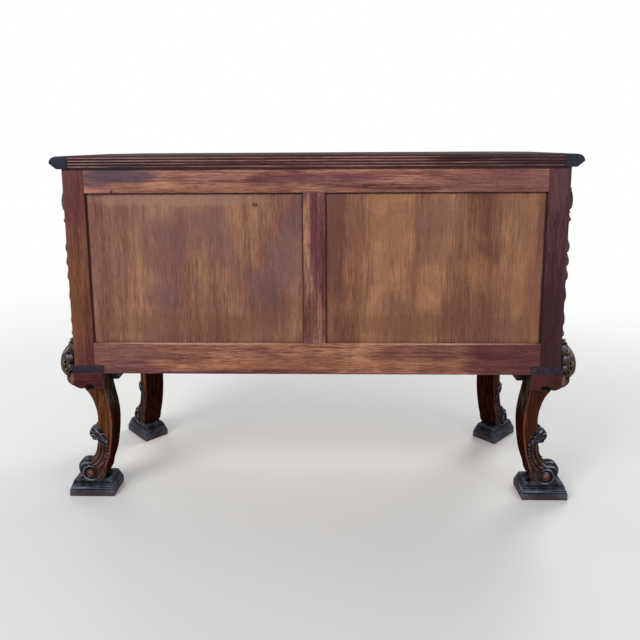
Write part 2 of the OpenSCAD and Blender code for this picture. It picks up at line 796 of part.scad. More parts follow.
// Post with a barrel-shaped knuckle, bored along X for the pin of the bail
module handle_post() {
  half = knuckle_l / 2;
  difference() {
    union() {
      rotate([-90, 0, 0]) cylinder(h = post_l, r = post_r);
      rotate([0, 90, 0]) rotate_extrude()
        polygon([[0, -half], [knuckle_r * 0.73, -half], [knuckle_r * 0.93, -half * 0.68], [knuckle_r, 0],
          [knuckle_r * 0.93, half * 0.68], [knuckle_r * 0.73, half], [0, half]]);
    }
    translate([-half - over, 0, 0]) rotate([0, 90, 0])
      cylinder(h = knuckle_l + 2 * over, r = pin_r + pin_clear);
  }
}

module handle_plate() {
  for (s = [-1, 1]) {
    plate_disc(s * post_gap / 2, 0, plate_r);
    plate_disc(s * post_gap * 0.28, -plate_r * 0.55, plate_r * 0.72);
    plate_disc(s * post_gap * 0.25, plate_r * 0.45, plate_r * 0.6);
    translate([s * post_gap / 2, 0, 0]) handle_post();
  }
  plate_disc(0, -plate_r * 0.4, plate_r * 1.15);
  plate_disc(0, plate_r * 0.75, plate_r * 0.75);
}

module drawer_plates(n) {
  color(brass_old) for (side = [-1, 1]) at_handle(n, side) union() handle_plate();
}

// Ring round the rod of a bail, along Z
module bail_ring() { translate([0, 0, -ring_l / 2]) cylinder(h = ring_l, r = ring_r); }

// Bail with a pin at each end. Its straight rods and its bends end inside the rings that join them
module bail() {
  arm_x = post_gap / 2 - knuckle_l / 2 - bail_gap - bail_r;
  bar_x = arm_x - bail_bend;
  arm_z = bail_bend - bail_drop;
  rod_end = ring_l / 8;
  color(brass_old) union() {
    for (s = [0, 1]) mirror([s, 0, 0]) {
      translate([arm_x, 0, 0]) rotate([0, 90, 0])
        cylinder(h = post_gap / 2 + knuckle_l / 4 - arm_x, r = pin_r);
      translate([arm_x, 0, 0]) rotate_extrude()
        polygon([[0, arm_z + rod_end], [bail_r, arm_z + rod_end], [bail_r, pin_r],
          [bail_r * 0.7, bail_r * 1.4], [0, bail_r * 1.4]]);
      translate([arm_x, 0, arm_z]) bail_ring();
      translate([bar_x, 0, arm_z]) rotate([-90, 0, 0])
        rotate_extrude(angle = 90) translate([bail_bend, 0]) circle(r = bail_r);
      translate([bar_x, 0, -bail_drop]) rotate([0, 90, 0]) bail_ring();
    }
    translate([0, 0, -bail_drop]) rotate([0, 90, 0]) rotate_extrude()
      polygon([[0, rod_end - bar_x], [bail_r, rod_end - bar_x], [bail_r, -knop_r * 1.3],
        [knop_r, -knop_r * 0.4], [knop_r, knop_r * 0.4], [bail_r, knop_r * 1.3],
        [bail_r, bar_x - rod_end], [0, bar_x - rod_end]]);
  }
}

top_core();
top_moulding_front();
on_left() top_moulding_right();  // top_moulding_left
top_moulding_right();
top_moulding_corners();
on_left() back_stile_right();  // back_stile_left
back_stile_right();
back_top_rail();
back_bottom_rail();
back_muntin();
on_left() back_panel_right();  // back_panel_left
back_panel_right();
on_left() side_board_right();  // side_board_left
side_board_right();
on_left() corner_post_right();  // corner_post_left
corner_post_right();
on_left() rear_carving_right();  // rear_carving_left
rear_carving_right();
on_left() base_rail_right();  // base_rail_left
base_rail_right();
base_rail_front();
head_rail();
rail_upper();
rail_lower();
drawer_runners();
drawer_stops();
glue_blocks();
on_left() at_rear() leg_block(leg_back_v - block_w, leg_back_v);  // leg_block_rear_left
at_rear() leg_block(leg_back_v - block_w, leg_back_v);  // leg_block_rear_right
on_left() at_front() leg_block(-block_w / 2, block_w / 2);  // leg_block_front_left
at_front() leg_block(-block_w / 2, block_w / 2);  // leg_block_front_right
on_left() at_rear() leg();  // leg_rear_left
at_rear() leg();  // leg_rear_right
on_left() at_front() leg();  // leg_front_left
at_front() leg();  // leg_front_right
on_left() at_rear() plinth();  // plinth_rear_left
at_rear() plinth();  // plinth_rear_right
on_left() at_front() plinth();  // plinth_front_left
at_front() plinth();  // plinth_front_right
drawer_front(1);  // drawer_1_front
drawer_sides(1);  // drawer_1_sides
drawer_back(1);  // drawer_1_back
drawer_bottom(1);  // drawer_1_bottom
drawer_plates(1);  // drawer_1_plates
drawer_front(2);  // drawer_2_front
drawer_sides(2);  // drawer_2_sides
drawer_back(2);  // drawer_2_back
drawer_bottom(2);  // drawer_2_bottom
drawer_plates(2);  // drawer_2_plates
drawer_front(3);  // drawer_3_front
drawer_sides(3);  // drawer_3_sides
drawer_back(3);  // drawer_3_back
drawer_bottom(3);  // drawer_3_bottom
drawer_plates(3);  // drawer_3_plates
at_handle(1, -1) bail();  // bail_1_left
at_handle(1, 1) bail();  // bail_1_right
at_handle(2, -1) bail();  // bail_2_left
at_handle(2, 1) bail();  // bail_2_right
at_handle(3, -1) bail();  // bail_3_left
at_handle(3, 1) bail();  // bail_3_right
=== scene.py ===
"""Commode with a framed and panelled back, carved corners, four scroll legs and three long drawers.

Metres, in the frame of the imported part: the drawers face -Y, the framed back faces +Y, and left and
right are seen from the front. Every size is read from the frame's own boxes, or is named below.
"""
import math

import bpy
from mathutils import Matrix, Vector


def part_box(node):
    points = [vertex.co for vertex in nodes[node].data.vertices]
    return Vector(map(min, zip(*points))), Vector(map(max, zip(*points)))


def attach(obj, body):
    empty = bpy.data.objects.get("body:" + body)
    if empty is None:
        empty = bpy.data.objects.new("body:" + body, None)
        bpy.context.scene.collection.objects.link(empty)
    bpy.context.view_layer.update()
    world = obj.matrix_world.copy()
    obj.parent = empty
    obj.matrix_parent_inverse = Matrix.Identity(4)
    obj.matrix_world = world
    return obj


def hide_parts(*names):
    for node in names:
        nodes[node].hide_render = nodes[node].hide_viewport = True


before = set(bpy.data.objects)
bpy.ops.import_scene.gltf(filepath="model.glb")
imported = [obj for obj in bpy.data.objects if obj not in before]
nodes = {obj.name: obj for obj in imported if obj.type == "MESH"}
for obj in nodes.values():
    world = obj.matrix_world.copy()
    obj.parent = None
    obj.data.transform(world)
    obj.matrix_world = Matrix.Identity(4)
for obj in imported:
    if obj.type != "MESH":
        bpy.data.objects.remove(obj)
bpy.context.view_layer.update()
carcass = "carcass"
MM = 0.001


# Places read from the frame

def low(node):
    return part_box(node)[0]


def high(node):
    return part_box(node)[1]


def middle(node):
    return (low(node) + high(node)) / 2


side_x = high("side_board_right").x
back_y = high("back_stile_right").y
front_y = low("head_rail").y
open_x = high("drawer_1_sides").x
top_under = high("back_stile_right").z
height_top = high("top_core").z
carcass_low = high("leg_block_rear_right").z
board_low = low("side_board_right").z
leg_top = low("leg_block_rear_right").z
plinth_top = high("plinth_rear_right").z
plinth_in = side_x - middle("plinth_rear_right").x

# A leg stands in its own frame: u points out of the carcass, v lies along its face
rear_middle = Vector((side_x, middle("plinth_rear_right").y, 0))
cant_turn = math.radians(-45)
cant_out = Vector((math.cos(cant_turn), math.sin(cant_turn), 0))
cant_foot = middle("plinth_front_right")
cant_middle = Vector((cant_foot.x, cant_foot.y, 0)) + plinth_in * cant_out
corners = {
    "rear": Matrix.Translation(rear_middle),
    "front": Matrix.Translation(cant_middle) @ Matrix.Rotation(cant_turn, 4, "Z"),
}
mirror_x = Matrix.Scale(-1, 4, (1, 0, 0))
axis_along_v = (math.radians(90), 0, 0)


# Camera, light and floor

def new_object(name, data):
    """An object with this data, put into the scene."""
    piece = bpy.data.objects.new(name, data)
    bpy.context.scene.collection.objects.link(piece)
    return piece


def set_camera():
    """Looks at the framed back from a little above it, as the photograph does."""
    place = Vector((-0.0445, 1.5764, 0.8599))
    yaw, pitch, roll = 0.0260, 0.1491, 0.0059
    ahead = Vector((math.sin(yaw) * math.cos(pitch), -math.cos(yaw) * math.cos(pitch), -math.sin(pitch)))
    across = Vector((-math.cos(yaw), -math.sin(yaw), 0))
    upwards = across.cross(ahead)
    camera_x = math.cos(roll) * across - math.sin(roll) * upwards
    camera_y = math.sin(roll) * across + math.cos(roll) * upwards
    turn = Matrix((camera_x, camera_y, -ahead)).transposed().to_4x4()
    data = bpy.data.cameras.new("photo_view")
    data.sensor_width = 36
    data.lens = 34.06
    data.shift_x = 0.0027
    data.shift_y = -0.134
    camera = new_object("photo_view", data)
    camera.matrix_world = Matrix.Translation(place) @ turn
    bpy.context.scene.camera = camera
    bpy.context.scene.view_settings.view_transform = "Standard"


def set_lights():
    """Two pairs of round soft lamps, and a sky: bluish as it lights the commode, white where it is seen."""
    aim = Vector((0, 0, 0.4))
    for name, place, size, power in (
            ("key_behind", (1.9, 2.3, 2.6), 1.8, 62), ("fill_behind", (-2.3, 2.4, 1.5), 2.0, 16),
            ("key_before", (-1.9, -2.5, 2.5), 1.8, 62), ("fill_before", (2.3, -2.4, 1.5), 2.0, 22)):
        data = bpy.data.lights.new(name, "AREA")
        data.shape = "DISK"
        data.size = size
        data.energy = power
        lamp = new_object(name, data)
        lamp.location = place
        lamp.rotation_euler = (aim - Vector(place)).to_track_quat("-Z", "Y").to_euler()
    world = bpy.data.worlds.new("studio")
    bpy.context.scene.world = world
    world.use_nodes = True
    tree = world.node_tree
    seen = tree.nodes["Background"]
    lit = tree.nodes.new("ShaderNodeBackground")
    for sky, colour, strength in ((seen, (1, 1, 1, 1), 1), (lit, (0.86, 0.93, 1, 1), 0.62)):
        sky.inputs["Color"].default_value = colour
        sky.inputs["Strength"].default_value = strength
    mix = tree.nodes.new("ShaderNodeMixShader")
    for source, socket in zip((seen_directly(tree), lit.outputs[0], seen.outputs[0]), mix.inputs):
        tree.links.new(source, socket)
    tree.links.new(mix.outputs[0], tree.nodes["World Output"].inputs["Surface"])


def seen_directly(tree):
    """1 for what the camera sees, straight or in a polished surface, and 0 for light on the object."""
    path = tree.nodes.new("ShaderNodeLightPath")
    seen = path.outputs["Is Camera Ray"]
    for kind in ("Is Transmission Ray", "Is Glossy Ray"):
        either = tree.nodes.new("ShaderNodeMath")
        either.operation = "MAXIMUM"
        tree.links.new(seen, either.inputs[0])
        tree.links.new(path.outputs[kind], either.inputs[1])
        seen = either.outputs[0]
    return seen


def lay_floor():
    """A pale floor that turns to the white of the background a few metres away from the object."""
    bpy.ops.mesh.primitive_plane_add(size=60, location=(0, 0, 0))
    floor = bpy.context.object
    floor.name = "studio_floor"
    paint = Finish("pale_floor")
    pale = (0.76, 0.74, 0.71, 1)
    for name, value in (("Base Color", pale), ("Roughness", 0.85), ("Specular IOR Level", 0.1)):
        paint.feed(paint.shader.inputs[name], value)
    away = paint.vector("LENGTH", paint.place)["Value"]
    share = paint.times(paint.spread(away, 0.9, 3.2), seen_directly(paint.tree))
    white = paint.new("ShaderNodeEmission", Strength=1).outputs[0]
    mix = paint.new("ShaderNodeMixShader")
    for socket, value in zip(mix.inputs, (share, paint.shader.outputs[0], white)):
        paint.feed(socket, value)
    paint.feed(paint.tree.nodes["Material Output"].inputs["Surface"], mix.outputs[0])
    floor.data.materials.append(paint.material)


# Finishes

def tone(red, green, blue):
    """A colour written in screen values from 0 to 255, as the shader wants it."""
    def linear(value):
        value /= 255
        return value / 12.92 if value <= 0.04045 else ((value + 0.055) / 1.055) ** 2.4
    return (linear(red), linear(green), linear(blue), 1)


class Finish:
    """A material and the few kinds of pattern that the finishes here are made of."""

    def __init__(self, name):
        self.material = bpy.data.materials.new(name)
        self.material.use_nodes = True
        self.tree = self.material.node_tree
        self.shader = self.tree.nodes["Principled BSDF"]
        self.place = self.new("ShaderNodeTexCoord").outputs["Object"]

    def new(self, kind, **sockets):
        node = self.tree.nodes.new(kind)
        for name, value in sockets.items():
            self.feed(node.inputs[name.replace("_", " ")], value)
        return node

    def feed(self, socket, value):
        """Links a socket to another one, or gives it a constant."""
        if isinstance(value, bpy.types.NodeSocket):
            self.tree.links.new(value, socket)
        else:
            socket.default_value = value

    def noise(self, stretch, detail=3, shift=0.0, twist=0.0, rough=0.5):
        """Noise with the given number of waves a metre along X, Y and Z."""
        mapping = self.new("ShaderNodeMapping", Vector=self.place, Scale=stretch,
                           Location=(shift, shift * 0.7, shift * 0.3))
        return self.new("ShaderNodeTexNoise", Vector=mapping.outputs[0], Scale=1, Detail=detail,
                        Distortion=twist, Roughness=rough).outputs["Fac"]

    def math(self, operation, first, second=0.0, third=0.0):
        node = self.new("ShaderNodeMath")
        node.operation = operation
        for socket, value in zip(node.inputs, (first, second, third)):
            self.feed(socket, value)
        return node.outputs[0]

    def times(self, first, second):
        return self.math("MULTIPLY", first, second)

    def vector(self, operation, first, second=(0, 0, 0)):
        node = self.new("ShaderNodeVectorMath")
        node.operation = operation
        for socket, value in zip(node.inputs, (first, second)):
            self.feed(socket, value)
        return node.outputs

    def spread(self, value, start, end, bottom=0.0, top=1.0):
        """Smooth rise from bottom to top while value goes from start to end."""
        node = self.new("ShaderNodeMapRange", Value=value)
        node.interpolation_type = "SMOOTHSTEP"
        for name, number in (("From Min", start), ("From Max", end), ("To Min", bottom), ("To Max", top)):
            node.inputs[name].default_value = number
        return node.outputs["Result"]

    def ramp(self, value, stops):
        """Colours that follow a value, from a list of positions with their colours."""
        node = self.new("ShaderNodeValToRGB", Fac=value)
        cells = node.color_ramp.elements
        while len(cells) < len(stops):
            cells.new(0.5)
        for cell, (position, colour) in zip(cells, stops):
            cell.position = position
            cell.color = colour
        return node.outputs["Color"]

    def mix(self, share, first, second, how="MIX"):
        """Lays a share of the second colour over the first one."""
        node = self.new("ShaderNodeMix")
        node.data_type = "RGBA"
        node.blend_type = how
        for number, value in ((0, share), (6, first), (7, second)):
            self.feed(node.inputs[number], value)
        return node.outputs[2]

    def marked(self, name):
        """A number stored at the points of a piece."""
        node = self.new("ShaderNodeAttribute")
        node.attribute_name = name
        return node.outputs["Fac"]

    def height(self):
        """Height above the floor."""
        return self.new("ShaderNodeSeparateXYZ", Vector=self.place).outputs["Z"]

    def spot(self, centre, size, grain=(30, 30, 30)):
        """1 inside a soft patch round a centre, 0 outside, its edge broken up along the grain."""
        ragged, edge = 0.35, 0.45
        away = self.vector("SUBTRACT", self.place, centre)[0]
        length = self.vector("LENGTH", self.vector("DIVIDE", away, size)[0])["Value"]
        waver = self.noise(grain, shift=centre[0] * 7 + centre[2] * 3)
        reach = self.math("MULTIPLY_ADD", waver, -2 * ragged, length)
        return self.spread(reach, 1 - ragged - edge, 1 - ragged, 1, 0)

    def bump(self, height, distance, strength):
        node = self.new("ShaderNodeBump", Height=height, Distance=distance, Strength=strength)
        self.feed(self.shader.inputs["Normal"], node.outputs[0])

    def done(self, colour, roughness, specular=0.5, coat=0.0, metal=0.0):
        """Sets the shader. Wood loses its gloss where it is seen almost edge on, as a dusty varnish does."""
        if not metal:
            slant = self.new("ShaderNodeLayerWeight", Blend=0.5).outputs["Facing"]
            roughness = self.math("MAXIMUM", roughness, self.spread(slant, 0.55, 0.85))
        for name, value in (("Base Color", colour), ("Roughness", roughness), ("Metallic", metal),
                            ("Specular IOR Level", specular), ("Coat Weight", coat), ("Coat Roughness", 0.3)):
            self.feed(self.shader.inputs[name], value)
        return self.material


def along(grain, across, lengthwise):
    """Stretch of a pattern whose lines run along one axis."""
    return tuple(lengthwise if axis == grain else across for axis in "XYZ")


def timber(name, dark, plain, light, grain="Z", seed=0.0, patches=(), rough=(0.42, 0.62), coat=0.0,
           figure=16.0, pores=0.6, contrast=1.0, specular=0.16, ribbons=0.3, clouds=(), reeds=None,
           coarse=0.5):
    """Sawn and stained wood: broad figure, ribbon streaks, fibres and dark pores along the grain.

    Colours are screen values. A patch is a centre, its half sizes, a colour and a strength. Clouds are
    colours that drift over the board. Reeds are the height of the lowest crest, the pitch and the colour
    of the crests, which is wear and a painted highlight; the grooves between them get a painted shade.
    Figure is the waves of the broad pattern in a metre, and coarse is the strength of the short open grain.
    """
    wood = Finish(name)
    dark, plain, light = tone(*dark), tone(*plain), tone(*light)
    broad = wood.noise(along(grain, figure, figure * 0.09), shift=seed, twist=0.9)
    ribbon = wood.noise(along(grain, 95, 4.0), detail=4, shift=seed + 3.1, twist=0.3, rough=0.6)
    fibre = wood.noise(along(grain, 380, 16), shift=seed + 7.7, rough=0.65)
    short = wood.noise(along(grain, 520, 34), shift=seed + 2.4, rough=0.6)
    pore = wood.noise(along(grain, 900, 60), detail=2, shift=seed + 1.3)
    speck = wood.noise((420, 420, 420), detail=2, shift=seed + 5.9)
    mottle = wood.noise((9, 9, 9), detail=2, shift=seed + 9.2)
    depth = wood.math("MULTIPLY_ADD", broad, 0.62 - ribbons, wood.times(ribbon, ribbons))
    depth = wood.math("ADD", depth, wood.times(fibre, 0.20))
    grit = wood.math("MULTIPLY_ADD", wood.math("SUBTRACT", short, 0.5), coarse * 0.36, 0.09)
    depth = wood.math("ADD", depth, grit)
    half_range = 0.082 / contrast
    colour = wood.ramp(depth, [(0.5 - half_range, dark), (0.5, plain), (0.5 + half_range, light)])
    colour = wood.mix(wood.spread(mottle, 0.42, 0.62, 0, 0.35), colour, dark)
    for drift, cloud in enumerate(clouds):
        haze = wood.noise(along(grain, 5.5, 3.5), detail=4, shift=seed + 11 + 8 * drift, twist=1.2)
        colour = wood.mix(wood.spread(haze, 0.48, 0.68, 0, 0.6), colour, tone(*cloud))
    # Each patch lays a stain, a painted shadow or a painted highlight over the wood, as its caller gives it
    for centre, size, patch_tint, strength in patches:
        mask = wood.spot(centre, size, grain=along(grain, 60, 7))
        colour = wood.mix(wood.times(mask, strength), colour, tone(*patch_tint))
    if reeds:
        lowest, pitch, wear_and_highlight = reeds
        above = wood.math("SUBTRACT", wood.height(), lowest)
        wave = wood.math("COSINE", wood.times(above, 2 * math.pi / pitch))
        # Painted shade in the grooves between the reeds
        colour = wood.mix(wood.spread(wave, 0.2, -0.8, 0, 0.7), colour, tone(40, 20, 26))
        # The crests lighter in streaks, as wear and a painted highlight
        crest_wear_and_highlight = wood.times(wood.spread(wave, 0.3, 0.95, 0, 0.9), wood.spread(ribbon, 0.40, 0.60))
        colour = wood.mix(crest_wear_and_highlight, colour, tone(*wear_and_highlight))
    fleck = wood.spread(pore, 0.56, 0.70, 0, pores)
    colour = wood.mix(fleck, colour, tuple(c * 0.35 for c in dark[:3]) + (1,))
    open_grain = wood.ramp(short, [(0.34, (0.5, 0.47, 0.46, 1)), (0.60, (1.12, 1.12, 1.12, 1))])
    colour = wood.mix(coarse, colour, open_grain, "MULTIPLY")
    colour = wood.mix(wood.spread(speck, 0.35, 0.7, 0.0, 0.3), colour, light, "SOFT_LIGHT")
    wood.bump(wood.math("SUBTRACT", fibre, wood.times(fleck, 0.8)), distance=0.0004, strength=0.5)
    gloss = wood.math("MULTIPLY_ADD", broad, 0.5, wood.times(fibre, 0.5))
    return wood.done(colour, wood.spread(gloss, 0.35, 0.65, *rough), specular, coat)


# Workshop helpers

def clear_bench():
    """Leaves nothing selected."""
    bpy.ops.object.select_all(action="DESELECT")


def take_up(*objects):
    """Selects these objects alone and makes the first one active."""
    if bpy.context.object and bpy.context.object.mode != "OBJECT":
        bpy.ops.object.mode_set(mode="OBJECT")
    clear_bench()
    for piece in objects:
        piece.select_set(True)
    bpy.context.view_layer.objects.active = objects[0]


def apply_modifier(piece, kind, **settings):
    """Adds a modifier to a piece and makes it part of the mesh."""
    take_up(piece)
    modifier = piece.modifiers.new(kind.title(), kind)
    for name, value in settings.items():
        setattr(modifier, name, value)
    bpy.ops.object.modifier_apply(modifier=modifier.name)


def ease_edges(piece, width, rows=2, angle=30):
    """Rounds the edges that turn by more than an angle."""
    apply_modifier(piece, "BEVEL", width=width, segments=rows, limit_method="ANGLE",
                   angle_limit=math.radians(angle), use_clamp_overlap=True)


def settle(piece, smooth=35):
    """Puts the place of a piece into its mesh and smooths its shading."""
    take_up(piece)
    bpy.ops.object.transform_apply()
    bpy.ops.object.shade_smooth_by_angle(angle=math.radians(smooth))


def fit(piece, name, paint, slot, body, *replaced):
    """Names a finished piece, paints it and hangs it on its body, in place of the nodes that it replaces."""
    piece.name = name
    piece.data.name = name
    piece.data.materials.clear()
    piece.data.materials.append(paint)
    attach(piece, body)
    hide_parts(*replaced)


def open_mesh():
    """Opens the mesh of the active piece and selects all of it."""
    bpy.ops.object.mode_set(mode="EDIT")
    bpy.ops.mesh.select_all(action="SELECT")


def face_outwards(piece, weld=0.0):
    """Turns the faces of a piece outwards, after welding the points that lie closer than weld."""
    take_up(piece)
    open_mesh()
    if weld:
        bpy.ops.mesh.remove_doubles(threshold=weld)
    bpy.ops.mesh.normals_make_consistent(inside=False)
    bpy.ops.object.mode_set(mode="OBJECT")


def board_from(node, name, paint, slot, body=carcass, ease=0.8, rows=2):
    """A board cut to the same size as its node, with its edges eased by so many millimetres."""
    board = new_object(name, nodes[node].data.copy())
    take_up(board)
    open_mesh()
    bpy.ops.mesh.customdata_custom_splitnormals_clear()
    bpy.ops.mesh.remove_doubles(threshold=0.01 * MM)
    bpy.ops.mesh.dissolve_limited(angle_limit=math.radians(1))
    face_outwards(board)
    ease_edges(board, ease * MM, rows)
    settle(board)
    fit(board, name, paint, slot, body, node)


def rod(name, points, radius, thickness=None, steps=6, ring=3):
    """A bent rod along smooth points; thickness scales its radius at each of them."""
    data = bpy.data.curves.new(name, "CURVE")
    data.dimensions = "3D"
    data.bevel_depth = radius
    data.bevel_resolution = ring
    data.resolution_u = steps
    data.use_fill_caps = True
    line = data.splines.new("BEZIER")
    line.bezier_points.add(len(points) - 1)
    for point, place, scale in zip(line.bezier_points, points, thickness or [1] * len(points)):
        point.co = place
        point.handle_left_type = point.handle_right_type = "AUTO"
        point.radius = scale
    take_up(new_object(name, data))
    bpy.ops.object.convert(target="MESH")
    return bpy.context.object


def shaped(scale=(1, 1, 1)):
    """The solid that was just added, scaled, with its place put into its mesh."""
    piece = bpy.context.object
    piece.scale = scale
    bpy.ops.object.transform_apply()
    return piece


def ball(place, size, turn=(0, 0, 0)):
    """An egg of the given half sizes."""
    clear_bench()
    bpy.ops.mesh.primitive_uv_sphere_add(segments=24, ring_count=14, radius=1, location=place, rotation=turn)
    return shaped(size)


def block(centre, size):
    """A square block, to work on or to cut with."""
    clear_bench()
    bpy.ops.mesh.primitive_cube_add(size=1, location=centre)
    piece = bpy.context.object
    piece.scale = size
    return piece


def drum(place, radius, length):
    """A round bar along v."""
    clear_bench()
    bpy.ops.mesh.primitive_cylinder_add(vertices=64, radius=radius, depth=length, location=place,
                                        rotation=axis_along_v)
    return shaped()


def hoop(place, radius, thick, turn=axis_along_v):
    """A ring round v unless it is turned."""
    clear_bench()
    bpy.ops.mesh.primitive_torus_add(major_segments=56, minor_segments=10, major_radius=radius,
                                     minor_radius=thick, location=place, rotation=turn)
    return shaped()


def sawn(name, outline, half, edge):
    """A blank sawn to an outline of u and z, 2 * half thick along v, its arrises rounded."""
    data = bpy.data.curves.new(name, "CURVE")
    data.dimensions = "2D"
    data.fill_mode = "BOTH"
    data.extrude = half - edge
    data.bevel_depth = edge
    data.bevel_resolution = 3
    data.offset = -edge
    data.resolution_u = 10
    line = data.splines.new("BEZIER")
    line.bezier_points.add(len(outline) - 1)
    line.use_cyclic_u = True
    for point, (u, z, kind) in zip(line.bezier_points, outline):
        point.co = (u, z, 0)
        point.handle_left_type = point.handle_right_type = kind
    piece = new_object(name, data)
    piece.rotation_euler = axis_along_v
    take_up(piece)
    bpy.ops.object.convert(target="MESH")
    piece = shaped()
    face_outwards(piece, weld=0.02 * MM)
    return piece


def cut_away(piece, cutters):
    """Cuts each cutter out of a piece."""
    for cutter in cutters:
        apply_modifier(piece, "BOOLEAN", operation="DIFFERENCE", object=cutter, solver="EXACT")
        bpy.data.objects.remove(cutter)


def carve_together(parts, grain, rounds):
    """Joins overlapping parts into one closed skin, as if cut from one block, and softens its edges.

    The grain is the finest detail that is kept. More rounds leave softer edges.
    """
    take_up(*parts)
    bpy.ops.object.join()
    piece = bpy.context.object
    apply_modifier(piece, "REMESH", mode="VOXEL", voxel_size=grain)
    apply_modifier(piece, "SMOOTH", factor=0.5, iterations=rounds)
    return piece


def set_out(model, corner, side):
    """A copy of a model made at a right-hand corner, moved to its corner and side."""
    place = corners[corner] if side == "right" else mirror_x @ corners[corner]
    copy = new_object("copy", model.data.copy())
    copy.data.transform(place)
    face_outwards(copy)
    return copy


# Carving. Places on a leg or corner are millimetres of u, v and z

def at(u, v, z):
    """Millimetres, or half sizes in them, as metres."""
    return (u * MM, v * MM, z * MM)


def on_leg(u, share):
    """A place on a leg at a share of the height from plinth to leg block."""
    return (u * MM, plinth_top + share * (leg_top - plinth_top))


leg_half = 27
leg_outside = [(-8, 1), (-26.5, 0.9), (-36, 0.8), (-41, 0.69), (-40, 0.58), (-38.5, 0.44), (-36, 0.35),
               (-29, 0.24)]
leg_inside = [(-45, 0), (-61.5, 0.16), (-69.5, 0.26), (-76, 0.41), (-79.5, 0.56), (-79.5, 0.68),
              (-75.5, 0.81), (-70, 0.92), (-67, 1)]
leg_shoulder = [(-65, carcass_low), (-30, carcass_low), (-30, leg_top)]
scroll_eye = (-15.5, 56.5)
arch_middle = (-31, 290)
ridge_line = [(-62.5, 282), (-68, 252), (-72.5, 226), (-75, 200), (-75, 174), (-72.5, 148), (-69, 126),
              (-64, 104), (-58, 84), (-50.5, 66), (-41.5, 51), (-30.5, 42), (-21.5, 39), (-13, 39),
              (-5, 42.5), (0.5, 49), (2.2, 58), (-1, 67), (-8, 73), (-17, 74.5), (-26, 71.5)]
ridge_straight = 12


def on_faces(path, stand):
    """A path of u and z on each face of the leg, standing so far out of it."""
    return [[at(u, face * (leg_half + stand), z) for u, z in path] for face in (-1, 1)]


def make_leg():
    """One scroll leg: a sawn blank with hollowed faces, ridge, curl, leaf, foot scroll and button."""
    eye_u, eye_z = scroll_eye
    outline = [on_leg(u, share) + ("AUTO",) for u, share in leg_outside]
    outline += [(eye_u * MM, eye_z * MM, "VECTOR"), (eye_u * MM, plinth_top, "VECTOR")]
    outline += [on_leg(u, share) + ("AUTO",) for u, share in leg_inside]
    outline += [(u * MM, z, "VECTOR") for u, z in leg_shoulder]
    outline[0] = outline[0][:2] + ("VECTOR",)
    rounding = 3.5 * MM
    blank = sawn("leg", outline, leg_half * MM, rounding)
    cove = [(-30, 284), (-45, 258), (-54, 232), (-57, 205), (-57, 180), (-54, 160)]
    cove_radius, cove_depth = 30, 2.6
    groove = [(-55.5, 282), (-61.5, 250), (-65.5, 224), (-67.8, 198), (-67.8, 174), (-65.6, 150), (-62, 128),
              (-57, 106), (-51, 87), (-44, 71), (-35, 57)]
    groove_radius = 1.7 * MM
    arch_u, arch_z = arch_middle
    cutters = [rod("cove", path, cove_radius * MM, ring=8)
               for path in on_faces(cove, cove_radius - cove_depth)]
    cutters += [rod("groove", path, groove_radius, steps=8) for path in on_faces(groove, 0.2)]
    cutters += [ball(at(arch_u, face * leg_half, arch_z), at(18, 12, 14)) for face in (-1, 1)]
    cut_away(blank, cutters)
    parts = [blank]
    ridge_radius = 2.4 * MM
    ridge_thickness = [0.9] * 11 + [1.0, 1.1, 1.15, 1.2, 1.2, 1.15, 1.1, 1.05, 1.0, 0.8]
    for path in on_faces(ridge_line, -0.4):
        parts.append(rod("ridge", path, ridge_radius, ridge_thickness, steps=8))
    parts += ribbed_roll(u=-2, z=62, radius=22.5, half=24.5, ribs=(-17, -6, 6, 17), thick=4.0, sink=2)
    scroll_radius, ring_radius, ring_thick = 15.5 * MM, 9.6 * MM, 1.5 * MM
    parts.append(drum(at(eye_u, 0, eye_z), scroll_radius, (2 * leg_half - 3) * MM))
    for face in (-1, 1):
        parts.append(ball(at(eye_u, face * (leg_half - 0.5), eye_z), at(6.6, 3.6, 6.6)))
        parts.append(hoop(at(eye_u, face * (leg_half - 1), eye_z), ring_radius, ring_thick))
    parts += make_curl()
    parts += make_leg_leaf()
    leg = carve_together(parts, 1.1 * MM, rounds=2)
    eyelets = [(-62.5, 133), (-63, 123.5), (-61.8, 114.5)]
    cut_away(leg, [ball(at(u, face * leg_half, z), at(2.4, 4.5, 3.0))
                   for u, z in eyelets for face in (1, -1)])
    mark_leg(leg)
    return leg


def ribbed_roll(u, z, radius, half, ribs, thick, sink):
    """A rolled-up leaf across a leg: an egg with a half sunk rib round it at each of some places on v."""
    parts = [ball(at(u, 0, z), at(radius, half, radius))]
    for v in ribs:
        reach = radius * math.sqrt(1 - (v / half) ** 2) - sink
        parts.append(hoop(at(u, v, z), reach * MM, thick * MM))
    return parts


def make_curl():
    """The leaf that sweeps across a leg half way up and rolls over at its tip."""
    parts = ribbed_roll(u=-27.5, z=154.5, radius=14.5, half=21, ribs=(-10.5, -3.5, 3.5, 10.5), thick=3.2,
                        sink=0.8)
    sweeps = [
        [(-53, 27, 150), (-45, 27.5, 160), (-36, 25, 166.5), (-28.5, 18, 169), (-22.5, 12, 168)],
        [(-57, 27.5, 144.5), (-48, 28, 153), (-38, 27, 160), (-27, 22, 163), (-18, 15, 161.5)],
        [(-60, 28, 138.5), (-50, 28, 146), (-40, 27, 152), (-29, 23, 154), (-18.5, 15, 152)],
        [(-44, 26, 143), (-36, 24.5, 145), (-28, 21, 144.5), (-21.5, 14, 142.5)],
    ]
    for sweep in sweeps:
        thick = [0.5, 0.9] + [1.1] * (len(sweep) - 3) + [0.8]
        for face in (-1, 1):
            path = [at(u, face * v, z) for u, v, z in sweep]
            parts.append(rod("sweep", path, 3.1 * MM, thick, steps=8))
    return parts + [ball(at(-60, face * leg_half, 139), at(4.6, 3.4, 4.6)) for face in (1, -1)]


